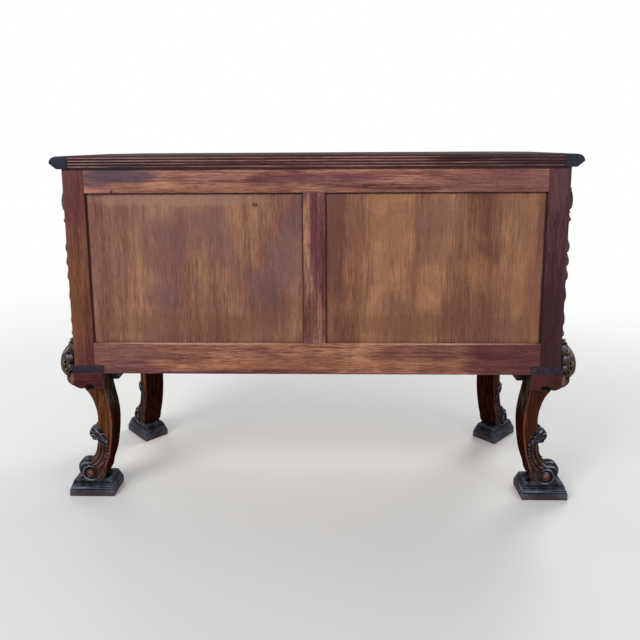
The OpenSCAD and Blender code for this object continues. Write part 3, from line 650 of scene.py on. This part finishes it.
def make_leg_leaf():
    """The leaf between curl and foot scroll: a ribbed and scalloped side on each face, and a ribbed back."""
    parts = []
    ribs = [
        [(-42, 146), (-43, 128), (-39, 110), (-31, 95), (-20, 84), (-8, 80)],
        [(-49, 142), (-51.5, 124), (-48, 106), (-39, 90), (-28, 80), (-15, 77)],
        [(-55, 138), (-57, 120), (-54, 101), (-46, 84), (-36, 72)],
    ]
    for rib in ribs:
        thickness = [0.5, 1.0, 1.05, 1.1, 1.0, 0.5][:len(rib)]
        for path in on_faces(rib, -1.4):
            parts.append(rod("leaf_rib", path, 3.6 * MM, thickness, steps=8))
    scallops = [(-60, 128.5), (-60, 119), (-59, 109), (-56.5, 100), (-53, 91.5), (-49, 84)]
    for step, (u, z) in enumerate(scallops):
        lean = math.radians(14 + 6 * step)
        for face in (-1, 1):
            parts.append(ball(at(u, face * (leg_half - 0.6), z), at(3.6, 2.8, 4.8), turn=(0, lean, 0)))
    outer_line = [(-41, 145), (-40, 130), (-37, 114), (-31, 100), (-20, 90)]
    outer_stand, outer_pitch = 1.2, 10
    for step in range(-2, 3):
        path = [at(u + outer_stand, step * outer_pitch, z) for u, z in outer_line]
        parts.append(rod("back_rib", path, 4.4 * MM, [0.5, 1, 1, 1, 0.6], steps=8))
    return parts


def soft_step(value, start, end):
    """Smooth rise from 0 to 1 while value goes from start to end."""
    share = min(max((value - start) / (end - start), 0), 1)
    return share * share * (3 - 2 * share)


def mark(piece, name, rule):
    """Stores a number at each point of a piece, worked out from its place and normal in millimetres."""
    mesh = piece.data
    values = [rule(vertex.co / MM, vertex.normal) for vertex in mesh.vertices]
    mesh.attributes.new(name, "FLOAT", "POINT").data.foreach_set("value", values)


def round_patch(place, middle, inner, outer):
    """1 within the inner distance from a middle of u and z, falling to 0 at the outer one."""
    return 1 - soft_step(math.hypot(place.x - middle[0], place.z - middle[1]), inner, outer)


def mark_leg(leg):
    """Marks the carved leaf for painted shade and highlights, the ridge for a painted highlight beside the
    button's own tone, and the inner side and the arch for painted shade.
    """
    ridge_points = []
    for (u0, z0), (u1, z1) in zip(ridge_line[:ridge_straight], ridge_line[1:]):
        ridge_points += [(u0 + (u1 - u0) * k / 8, z0 + (z1 - z0) * k / 8) for k in range(8)]

    def leafy(place, normal):
        u, v, z = place
        curl = round_patch(place, (-33, 156), 19, 25)
        sweep = 1 - soft_step(abs((u + 46) * 0.75 - (z - 150)), 8, 15)
        on_sweep = -62 < u < -30 and 136 < z < 172
        foot = round_patch(place, (-6, 60), 24, 34)
        leaf = 0.55 * (1 - soft_step(z, 132, 142)) * soft_step(abs(v), 20, 25)
        return max(curl, sweep if on_sweep else 0, foot, leaf)

    # The painted highlight along the ridge, and the button
    def ridge_highlight_and_button(place, normal):
        u, v, z = place
        near = min(math.hypot(u - a, z - b) for a, b in ridge_points)
        edge = (1 - soft_step(near, 2.5, 4.5)) * soft_step(abs(v), 24.5, 26.5) * soft_step(z, 62, 90)
        button = round_patch(place, scroll_eye, 6.5, 8)
        return max(edge, button * soft_step(abs(v), 25, 27))

    # Painted shade on the inner side and in the arch under the block
    def painted_shade_inner(place, normal):
        arch = soft_step(place.z, 270, 275) * round_patch(place, arch_middle, 17, 20)
        return max(soft_step(-normal.x, 0.35, 0.75) * soft_step(-place.x, 40, 52), arch)

    mark(leg, "leafy", leafy)
    mark(leg, "ridge_highlight_and_button", ridge_highlight_and_button)
    mark(leg, "painted_shade_inner", painted_shade_inner)


def make_plinth():
    """A moulded plinth: slab, two beads, fillet and hollow, raised step by step from its lower face."""
    size = high("plinth_rear_right") - low("plinth_rear_right")
    # Each step of the moulding is a height and how far it lies inside the slab
    profile = [(0.6, 0.6), (2, 0), (15, 0), (16.3, 0.5), (17.2, 1.9), (18.0, 1.4), (19.6, 1.1), (21.0, 1.8),
               (21.9, 3.4), (22.8, 3.0), (24.6, 3.0), (26.2, 4.1), (26.9, 5.6), (27.8, 5.2), (30.6, 5.2),
               (31.0, 6.4), (33.6, 7.1), (37.2, 8.3), (39.8, 9.8), (41.3, 11.4), (42.0, 14)]
    centre = Vector((-plinth_in, 0, 0))
    inset, height = 1.6 * MM, 0.0
    clear_bench()
    bpy.ops.mesh.primitive_plane_add(size=1, location=centre)
    piece = shaped((size.x - 2 * inset, size.y - 2 * inset, 1))
    open_mesh()
    bpy.ops.mesh.subdivide(number_cuts=3)
    for z, step_in in profile:
        was_length, was_width = size.x - 2 * inset, size.y - 2 * inset
        inset = step_in * MM
        bpy.ops.mesh.extrude_region_move(TRANSFORM_OT_translate={"value": (0, 0, z * MM - height)})
        height = z * MM
        shrink = ((size.x - 2 * inset) / was_length, (size.y - 2 * inset) / was_width, 1)
        bpy.ops.transform.resize(value=shrink, center_override=centre + Vector((0, 0, height)))
    face_outwards(piece)
    ease_edges(piece, 0.4 * MM, angle=40)
    return piece


# Outline of the knee leaf: share of its radius, and height above its lower end
knee_profile = [(0.56, 2), (0.80, 6), (0.95, 15), (0.99, 27), (0.97, 39), (0.89, 52), (0.70, 64),
                (0.46, 74), (0.27, 84)]


def make_knee():
    """The curled acanthus leaf over a leg: ribs that roll over and under, and lobes with eyes beside."""
    below_carcass = 15
    foot = carcass_low / MM - below_carcass
    reach, radius = 48, 38
    axis = reach - radius
    parts = [ball(at(6, 0, foot + 37), at(32, 29, 31)), ball(at(3, 0, foot + 66), at(17, 19, 24))]
    rib_radius, rib_sink = 4.4, 4.2
    for step in range(-3, 4):
        angle = math.radians(25 * step)
        path = []
        for share, rise in knee_profile:
            out = (radius - rib_sink) * share
            path.append(at(axis + out * math.cos(angle), out * math.sin(angle), foot + rise))
        parts.append(rod("knee_rib", path, rib_radius * MM, [0.6, 0.9, 1.0, 1.1, 1.1, 1.0, 0.9, 0.7, 0.45]))
    lobes = [((9, 24, 70), (8, 8, 13)), ((15, 31, 50), (10, 7, 12)), ((12, 34, 29), (9, 6, 9)),
             ((17, 16, 80), (5, 5, 8)), ((12, 19, 92), (4.5, 4.5, 5))]
    eye_rings = [(22, 30, 62), (25, 31, 40), (20, 35, 20)]
    eye = (2.8, 7, 2.8)
    hollows = [((17, 33, 61), (4.5, 8, 3.2)), ((10, 37, 39), (5, 8, 3.4)), ((22, 31, 62), eye),
               ((25, 33, 40), eye), ((21, 36, 20), eye)]
    for side in (-1, 1):
        lobe_turn = (side * math.radians(12), math.radians(18), 0)
        ring_turn = (math.radians(90), 0, side * math.radians(35))
        parts += [ball(at(u, side * v, foot + z), at(*size), turn=lobe_turn) for (u, v, z), size in lobes]
        parts += [hoop(at(u, side * v, foot + z), 5.2 * MM, 2 * MM, turn=ring_turn) for u, v, z in eye_rings]
    knee = carve_together(parts, 1.1 * MM, rounds=1)
    cutters = [ball(at(u, side * v, foot + z), at(*size), turn=(0, math.radians(-25), 0))
               for side in (-1, 1) for (u, v, z), size in hollows]
    # Blocks in the place of the base rail, the leg block and the carcass trim the back of the leaf
    rail_lip = high("base_rail_right").x - side_x + 0.3 * MM
    block_lip = 18.6 * MM
    wide, deep = 120 * MM, 60 * MM
    trim_low = 0.2
    for front, top in ((rail_lip, board_low), (block_lip, carcass_low), (0, top_under)):
        tall = top - trim_low
        cutters.append(block((front - deep / 2, 0, top - tall / 2), (deep, wide, tall)))
    cut_away(knee, cutters)
    return knee


# Upper and lower end of each husk, measured down from under the top, and its share of the full relief
husk_rows = [(48, 105, 1.1), (114, 130, 1), (169, 203, 1), (204, 236, 1.03), (237, 271, 1), (276, 323, 0.9),
             (335, 381, 0.88), (386, 404, 0.95)]


def make_husks():
    """The string of leaves and husks on a corner, down to the knee."""
    relief = 19.5
    parts = []
    below_top = top_under / MM
    for upper, lower, share in husk_rows:
        out = relief * share
        length = lower - upper
        centre = below_top - (upper + lower) / 2
        # A middle leaf, two pairs of side leaves, a collar above them and a bead below
        parts.append(ball(at(out * 0.5, 0, centre), at(out * 0.5, 5, length * 0.5)))
        for side in (-1, 1):
            for lean, far, reach, size in ((13, 7, 0.48, 0.45), (27, 12.5, 0.36, 0.38)):
                parts.append(ball(at(out * size, side * far, centre + length * 0.07),
                                  at(out * size, 4, length * reach), turn=(math.radians(side * lean), 0, 0)))
        parts.append(ball(at(out * 0.42, 0, centre + length * 0.46), at(out * 0.42, 8, 3.4)))
        parts.append(ball(at(out * 0.5, 0, centre - length * 0.5 - 1), at(out * 0.34, 3.2, 3.2)))
    stem_top = below_top - husk_rows[0][1] + 20
    stem_end = carcass_low / MM + 50
    stem = [at(7, 0, z) for z in (stem_top, (stem_top + stem_end) / 2, stem_end)]
    parts.append(rod("stem", stem, 8 * MM, ring=6))
    strip = carve_together(parts, 1.0 * MM, rounds=2)
    deep, wide = 30 * MM, 60 * MM
    cut_away(strip, [block((-deep / 2, 0, (top_under + carcass_low) / 2), (deep, wide, 1))])
    return strip


def make_corner_post(side):
    """The canted board of a front corner, sawn out of a block along its cant and its inner plane."""
    cant = 2 * (side_x - cant_middle.x)
    behind_cant = 26 * MM
    thick = 42 * MM
    seam = 1 * MM
    start = Vector((open_x + seam, front_y, board_low))
    end = Vector((side_x, front_y + cant + behind_cant, top_under))
    post = block((start + end) / 2, end - start)
    bpy.ops.object.transform_apply()
    open_mesh()
    bpy.ops.mesh.bisect(plane_co=cant_middle, plane_no=cant_out, use_fill=True, clear_outer=True)
    bpy.ops.mesh.select_all(action="SELECT")
    inner_plane = cant_middle - thick * cant_out
    bpy.ops.mesh.bisect(plane_co=inner_plane, plane_no=cant_out, use_fill=True, clear_inner=True)
    bpy.ops.object.mode_set(mode="OBJECT")
    if side == "left":
        post.data.transform(mirror_x)
    face_outwards(post)
    ease_edges(post, 0.8 * MM)
    settle(post)
    return post


# Finishes of the boards and carvings

def carved_finish(name, recess, field, ridge, seed, highlight_colour, wear_and_highlight, streaks, specular, stains_and_painted_shade=(), marks=False,
                  painted_highlight_share=0.75, crest=(0.512, 0.54)):
    """Old dark varnish on carving: painted shade black in the hollows, wear and a painted highlight on the
    ridges, and a pale painted highlight on what faces up.

    Stains and painted shade are a list of patches, as timber takes them. Marks adds the painted shade and
    highlights of a leg's leaf, the painted highlight of its ridge with the tone of its button, and the
    painted shade of its inner side. Crest is the pointedness between which the field turns into the ridge.
    """
    wood = Finish(name)
    recess, field, ridge, highlight_colour = tone(*recess), tone(*field), tone(*ridge), tone(*highlight_colour)
    geometry = wood.new("ShaderNodeNewGeometry")
    point = geometry.outputs["Pointiness"]
    stir = wood.noise((70, 70, 70), detail=4, shift=seed)
    broad = wood.noise((18, 18, 12), shift=seed + 4)
    fibre = wood.noise((420, 420, 22), shift=seed + 2)
    streak = wood.noise((240, 240, 9), detail=4, shift=seed + 6)
    shape = wood.math("MULTIPLY_ADD", wood.math("SUBTRACT", stir, 0.5), 0.04, point)
    # By pointedness: painted shade in the recesses, and the ridge colour, wear and a painted highlight, on
    # the crests
    colour = wood.ramp(shape, [(0.455, recess), (0.490, field), (crest[0], field), (crest[1], ridge)])
    colour = wood.mix(wood.spread(broad, 0.45, 0.62, 0, wear_and_highlight), colour, ridge)
    colour = wood.mix(wood.spread(streak, 0.45, 0.68, 0, streaks), colour, recess)
    for centre, size, patch_tint, strength in stains_and_painted_shade:
        colour = wood.mix(wood.times(wood.spot(centre, size), strength), colour, tone(*patch_tint))
    if marks:
        # On the leaf, painted shade in the hollows and a pale bluish painted highlight on the crests
        carved = [(0.46, tone(5, 5, 7)), (0.490, tone(28, 25, 28)), (0.512, tone(50, 46, 50)),
                  (0.545, tone(114, 114, 122))]
        # The painted highlight of the ridge, and the button's tone
        ridge_highlight_tones = [(0.42, tone(98, 60, 52)), (0.58, tone(134, 80, 54))]
        # Painted shade of the inner side
        inner_shade_tones = [(0.42, tone(20, 7, 4)), (0.58, tone(56, 23, 15))]
        for mark_name, strength, pattern, stops in (
                ("leafy", 0.9, shape, carved), ("ridge_highlight_and_button", 0.7, broad, ridge_highlight_tones),
                ("painted_shade_inner", 0.95, streak, inner_shade_tones)):
            share = wood.spread(wood.marked(mark_name), 0.1, 0.9, 0, strength)
            colour = wood.mix(share, colour, wood.ramp(pattern, stops))
        # A painted greyish-green reflection on the upper part of the inner side
        painted_reflection = wood.times(wood.marked("painted_shade_inner"), wood.spread(streak, 0.44, 0.58))
        painted_reflection = wood.times(painted_reflection, wood.spread(wood.height(), 0.20, 0.25, 0, 0.75))
        colour = wood.mix(painted_reflection, colour, tone(70, 74, 66))
    # A pale bluish painted highlight, the reflection of the sky, on what faces up
    facing = wood.new("ShaderNodeSeparateXYZ", Vector=geometry.outputs["Normal"]).outputs["Z"]
    painted_highlight = wood.times(wood.spread(facing, 0.0, 0.8), wood.spread(stir, 0.38, 0.58))
    painted_highlight = wood.times(painted_highlight, wood.spread(point, 0.492, 0.515))
    if marks:
        painted_highlight = wood.times(painted_highlight, wood.spread(wood.marked("leafy"), 0.1, 0.9, 0.12, 1))
    colour = wood.mix(wood.times(painted_highlight, painted_highlight_share), colour, highlight_colour)
    # Painted shade: near-black in the hollows
    colour = wood.mix(wood.spread(point, 0.485, 0.45, 0, 0.92), colour, recess)
    open_grain = wood.ramp(fibre, [(0.3, (0.4, 0.4, 0.4, 1)), (0.7, (1.1, 1.1, 1.1, 1))])
    colour = wood.mix(0.55, colour, open_grain, "MULTIPLY")
    wood.bump(wood.math("MULTIPLY_ADD", fibre, 0.6, stir), distance=0.0005, strength=0.35)
    return wood.done(colour, wood.spread(stir, 0.3, 0.7, 0.3, 0.5), specular)


def brass_finish():
    """Old cast brass, tarnished brown in patches and dark in its corners."""
    metal = Finish("aged_brass")
    point = metal.new("ShaderNodeNewGeometry").outputs["Pointiness"]
    stir = metal.noise((120, 120, 120), detail=4)
    tarnish = metal.noise((35, 35, 35), shift=3)
    colour = metal.ramp(stir, [(0.3, tone(112, 86, 50)), (0.55, tone(152, 122, 76)),
                               (0.75, tone(184, 156, 106))])
    colour = metal.mix(metal.spread(tarnish, 0.42, 0.62, 0, 0.8), colour, tone(72, 54, 34))
    colour = metal.mix(metal.spread(point, 0.5, 0.44, 0, 0.8), colour, tone(44, 32, 20))
    metal.bump(stir, distance=0.0003, strength=0.3)
    return metal.done(colour, metal.spread(stir, 0.3, 0.7, 0.3, 0.5), metal=1.0)


def back_board(name, *colours, stains_and_painted_light, slot="frame_wood", ease=0.8, **look):
    """A board of the framed back, in a wood of its own.

    Each patch, a stain or a painted shadow or highlight, is x, z, half its size along both, a colour and a
    strength. It goes right through the board.
    """
    through = 1.0
    patches = [((x, back_y, z), (half_x, through, half_z), colour, strength)
               for x, z, half_x, half_z, colour, strength in stains_and_painted_light]
    wood = timber(name + "_wood", *colours, patches=patches, **look)
    board_from("back_" + name, name, wood, slot, ease=ease)


def dress_back():
    """Stiles, rails, muntin and panels of the back, each with its own stains and wear, with painted shadow
    lines under the top and round the panels and a pale line on the bottom rail's ledge, of dust and painted
    highlight.
    """
    maroon = (92, 44, 46)
    # Painted shadow: a dark line under the top and round each panel
    shadow_tone = (36, 18, 20)
    ledge = high("back_bottom_rail").z
    rail_low = low("back_top_rail").z
    # The painted shadow under the overhang of the top
    shadow_under_top = (0, top_under, 3, 0.005, shadow_tone, 0.85)
    # A pale line on the ledge of the bottom rail: dust, and a painted highlight where the ledge faces up
    ledge_dust_and_highlight = [(side * 0.29, ledge, 0.25, 0.0045, (184, 146, 126), 0.75) for side in (-1, 1)]
    middle_z = (rail_low + ledge) / 2

    def panel_shadow_lines(side):
        """Painted shadow lines where a panel meets the top rail, its stile and the muntin."""
        return [(0, rail_low, 3, 0.006, shadow_tone, 0.8),
                (side * low("back_stile_right").x, middle_z, 0.0065, 2, shadow_tone, 0.8),
                (side * high("back_muntin").x, middle_z, 0.005, 2, shadow_tone, 0.55)]

    back_board("stile_right", (78, 44, 34), (114, 70, 54), (144, 92, 64), seed=1.7, stains_and_painted_light=[
        (0.55, 0.76, 0.06, 0.11, maroon, 0.7),
        (0.55, 0.36, 0.06, 0.045, maroon, 0.6),
        (0.556, 0.50, 0.03, 0.16, (128, 76, 46), 0.4), shadow_under_top])
    back_board("stile_left", (48, 22, 30), (78, 44, 50), (104, 64, 64), seed=8.3, stains_and_painted_light=[
        (-0.55, 0.40, 0.06, 0.22, (58, 24, 32), 0.75),
        (-0.535, 0.78, 0.05, 0.1, (102, 66, 68), 0.5), shadow_under_top])
    back_board("muntin", (90, 48, 48), (128, 84, 76), (168, 122, 98), seed=4.4, contrast=1.2, stains_and_painted_light=[
        (0, 0.66, 0.015, 0.16, (98, 50, 56), 0.75),
        (0.006, 0.47, 0.010, 0.07, (104, 56, 52), 0.55),
        (-0.012, 0.45, 0.008, 0.09, (168, 124, 98), 0.5),
        (0.02, 0.76, 0.008, 0.03, (70, 48, 60), 0.6)])
    back_board("top_rail", (92, 50, 46), (142, 96, 84), (176, 126, 104), grain="X", seed=2.9,
               contrast=1.2, stains_and_painted_light=[
        (0.44, 0.79, 0.12, 0.02, (78, 60, 78), 0.85),
        (0.50, 0.775, 0.05, 0.022, (88, 66, 80), 0.7),
        (0.462, 0.753, 0.0035, 0.005, (44, 46, 58), 0.95),
        (-0.02, 0.782, 0.20, 0.012, (112, 64, 70), 0.75),
        (-0.42, 0.775, 0.16, 0.05, (116, 70, 68), 0.65),
        (0.20, 0.757, 0.24, 0.006, (152, 96, 74), 0.6), shadow_under_top])
    back_board("bottom_rail", (92, 46, 40), (138, 92, 78), (184, 130, 100), grain="X",
               seed=6.1, contrast=1.25, stains_and_painted_light=[
        (0.46, 0.36, 0.12, 0.1, (104, 62, 66), 0.65),
        (-0.46, 0.36, 0.15, 0.1, (80, 38, 42), 0.85),
        (-0.24, 0.37, 0.16, 0.03, (102, 56, 50), 0.6),
        (0.05, 0.345, 0.35, 0.016, (158, 100, 74), 0.5),
        (0.25, 0.40, 0.30, 0.010, (166, 120, 96), 0.6)] + ledge_dust_and_highlight)
    panel_look = dict(slot="panel_wood", ease=0.4, figure=9, pores=0.3, ribbons=0.16, contrast=1.15,
                      coarse=0.3)
    back_board("panel_right", (94, 60, 50), (130, 90, 74), (166, 120, 92), seed=3.3, **panel_look,
               clouds=((150, 108, 84), (106, 78, 78)), stains_and_painted_light=[
        (0.30, 0.735, 0.26, 0.02, (150, 118, 102), 0.6),
        (0.35, 0.62, 0.07, 0.08, (104, 72, 72), 0.45),
        (0.30, 0.44, 0.26, 0.04, (122, 80, 60), 0.45),
        (0.135, 0.722, 0.008, 0.007, (76, 46, 40), 0.75),
        (0.05, 0.58, 0.05, 0.10, (132, 100, 92), 0.4)] + panel_shadow_lines(1))
    back_board("panel_left", (98, 60, 44), (134, 92, 72), (170, 122, 90), seed=12.6, **panel_look,
               clouds=((162, 112, 80), (112, 76, 66)), stains_and_painted_light=[
        (-0.10, 0.60, 0.02, 0.12, (146, 90, 68), 0.35),
        (-0.26, 0.44, 0.24, 0.035, (118, 76, 58), 0.45),
        (-0.28, 0.70, 0.10, 0.05, (134, 96, 82), 0.4)] + panel_shadow_lines(-1))


def dress_top():
    """The top with its reeded back edge, and its shaped mouldings."""
    reed_count = 4
    # A quarter of the pitch is left over below the reeds, and another above them
    pitch = (height_top - top_under) / (reed_count + 0.5)
    # The crests of the reeds take this colour as wear and a painted highlight
    crests = (top_under + 0.75 * pitch, pitch, (156, 116, 112))
    top = timber("top_wood", (60, 30, 32), (92, 54, 54), (128, 84, 78), grain="X", seed=5.5,
                 rough=(0.34, 0.5), reeds=crests, patches=[
        ((0.50, back_y, top_under), (0.14, 0.3, 0.08), (44, 38, 50), 0.7),
        ((-0.50, back_y, top_under), (0.12, 0.3, 0.08), (56, 34, 40), 0.6),
        # Painted shade: the upper face of the top darker
        ((0, 0, height_top), (3, 3, 0.0035), (58, 30, 26), 0.8)])
    browns = (30, 18, 18), (54, 32, 30), (78, 50, 44)
    side_moulding = timber("moulding_wood", *browns, grain="Y", seed=2.2, rough=(0.35, 0.5), patches=[
        # The back ends of the side mouldings: dark stain with a painted bluish reflection of the sky
        ((0, back_y + 0.02, height_top), (3, 0.16, 0.3), (36, 41, 54), 0.92)])
    front_moulding = timber("front_moulding_wood", *browns, grain="X", seed=7.2, rough=(0.35, 0.5))
    board_from("top_core", "top_boards", top, "top_wood", ease=0.5)
    for name, wood in (("left", side_moulding), ("right", side_moulding), ("front", front_moulding),
                       ("corners", front_moulding)):
        board_from("top_moulding_" + name, "nosing_" + name, wood, "moulding", ease=0.4)


def dress_sides_and_base():
    """Side boards, canted corner posts, base rails and the rails between the drawers."""
    side_wood = timber("side_wood", (58, 32, 26), (94, 54, 40), (126, 78, 54), seed=9.1,
                       rough=(0.32, 0.5), coat=0.08, specular=0.3)
    base = timber("base_wood", (28, 20, 30), (46, 34, 46), (68, 54, 64), grain="Y", seed=1.1,
                  rough=(0.4, 0.55))
    base_front = timber("base_front_wood", (40, 26, 28), (66, 42, 40), (92, 62, 54), grain="X", seed=1.9,
                        rough=(0.35, 0.5))
    rail = timber("front_rail_wood", (62, 34, 28), (96, 56, 42), (128, 80, 58), grain="X", seed=3.8,
                  rough=(0.32, 0.5), coat=0.08, specular=0.3)
    for side in ("left", "right"):
        board_from("side_board_" + side, "side_" + side, side_wood, "side_wood")
        board_from("base_rail_" + side, "base_" + side, base, "base_wood", ease=1.0)
        post = make_corner_post(side)
        fit(post, "canted_post_" + side, side_wood, "side_wood", carcass, "corner_post_" + side)
    board_from("base_rail_front", "base_front", base_front, "base_wood", ease=1.0)
    for node in ("head_rail", "rail_upper", "rail_lower"):
        board_from(node, "front_" + node, rail, "front_rail_wood")


def dress_legs():
    """Blocks, legs, plinths and corner carvings, each modelled once and set out at the four corners."""
    # Painted shade: the blocks on the left darker
    stains_and_painted_light = [((-side_x, 0, leg_top), (0.5, 1.5, 0.6), (54, 26, 24), 0.45)]
    for reach, back, rise, size, colour, strength in (
            # A painted highlight on the rounded ear of each block
            (0.012, 0, 0.022, (0.010, 0.02, 0.022), (136, 112, 96), 0.6),
            # Painted shade in the arch of each block
            (-0.031, 0.010, -0.002, (0.017, 0.009, 0.014), (8, 4, 4), 0.9)):
        for side in (-1, 1):
            centre = (side * (side_x + reach), back_y - back, leg_top + rise)
            stains_and_painted_light.append((centre, size, colour, strength))
    block_wood = timber("block_wood", (56, 26, 26), (86, 44, 42), (114, 64, 54), grain="X", seed=4.9,
                        rough=(0.4, 0.55), contrast=0.7, specular=0.08, patches=stains_and_painted_light)
    leg_wood = carved_finish(
        "leg_wood", (30, 14, 9), (90, 52, 34), (132, 84, 54), seed=1.0, highlight_colour=(148, 158, 174), wear_and_highlight=0.45,
        streaks=0.7, specular=0.0, marks=True,
        # Painted shade: the legs on the left darker
        stains_and_painted_shade=[((-side_x, 0, 0.15), (0.5, 1.5, 0.6), (40, 18, 14), 0.5)])
    carving_wood = carved_finish(
        "carving_wood", (4, 4, 5), (54, 42, 38), (132, 102, 80), seed=2.0, highlight_colour=(150, 160, 172), wear_and_highlight=0.25,
        streaks=0.4, specular=0.1)
    # The pale bluish crest colour of the plinth is a painted highlight
    plinth_wood = carved_finish(
        "plinth_wood", (3, 3, 5), (14, 13, 16), (128, 132, 148), seed=3.0, highlight_colour=(92, 98, 112), wear_and_highlight=0.05,
        streaks=0.2, specular=0.05, painted_highlight_share=0.4, crest=(0.52, 0.62),
        stains_and_painted_shade=[((0, 0, 0.0), (3, 3, 0.015), (84, 56, 50), 0.5)])
    leg = make_leg()
    plinth = make_plinth()
    knee = make_knee()
    husks = make_husks()
    for corner, carved_node in (("rear", "rear_carving_"), ("front", "corner_post_")):
        for side in ("left", "right"):
            tail = corner + "_" + side
            board_from("leg_block_" + tail, "block_" + tail, block_wood, "block_wood", ease=1.2, rows=3)
            for model, name, paint, slot, node, smooth in (
                    (leg, "scroll_leg_", leg_wood, "leg_wood", "leg_" + tail, 180),
                    (plinth, "foot_plinth_", plinth_wood, "plinth_wood", "plinth_" + tail, 35),
                    (knee, "knee_leaf_", carving_wood, "carved_wood", carved_node + side, 180),
                    (husks, "husk_strip_", carving_wood, "carved_wood", carved_node + side, 180)):
                piece = set_out(model, corner, side)
                settle(piece, smooth)
                fit(piece, name + tail, paint, slot, carcass, node)
    for model in (leg, plinth, knee, husks):
        bpy.data.objects.remove(model)


def dress_drawers():
    """Three drawers with stained fronts and plain boxes, and their brass handles."""
    pale = (142, 104, 64), (176, 134, 88), (200, 160, 112)
    box_wood = timber("drawer_box_wood", *pale, grain="Y", seed=5.2, rough=(0.5, 0.7))
    across = timber("drawer_back_wood", *pale, grain="X", seed=7.9, rough=(0.5, 0.7))
    brass = brass_finish()
    for number in (1, 2, 3):
        body = "drawer_%d" % number
        front = timber("drawer_front_wood_%d" % number, (66, 34, 24), (112, 62, 40), (146, 90, 58),
                       grain="X", seed=11.0 + 3.7 * number, rough=(0.28, 0.42), coat=0.12, figure=13,
                       specular=0.35)
        for part, name, paint, slot, ease in (
                ("front", "front_board", front, "drawer_front_wood", 0.6),
                ("sides", "side_boards", box_wood, "drawer_box_wood", 0.5),
                ("back", "back_board", across, "drawer_box_wood", 0.5),
                ("bottom", "bottom_board", across, "drawer_box_wood", 0.4),
                ("plates", "back_plates", brass, "brass", 0.35)):
            board_from("%s_%s" % (body, part), "%s_%d" % (name, number), paint, slot, body, ease)
        for side in ("left", "right"):
            bail = "bail_%d_%s" % (number, side)
            board_from(bail, "swing_" + bail, brass, "brass", bail, ease=0.3)


def dress_inside():
    """Runners, stops and glue blocks."""
    inner = timber("inner_wood", (122, 88, 56), (158, 118, 78), (184, 144, 100), grain="Y", seed=6.6,
                   rough=(0.55, 0.75))
    dark = timber("glue_block_wood", (30, 18, 16), (48, 30, 26), (66, 44, 36), grain="X", seed=6.9)
    board_from("drawer_runners", "runners", inner, "inner_wood")
    board_from("drawer_stops", "stops", inner, "inner_wood")
    board_from("glue_blocks", "glue_blocks_eased", dark, "base_wood")


set_camera()
set_lights()
lay_floor()
dress_back()
dress_top()
dress_sides_and_base()
dress_legs()
dress_drawers()
dress_inside()
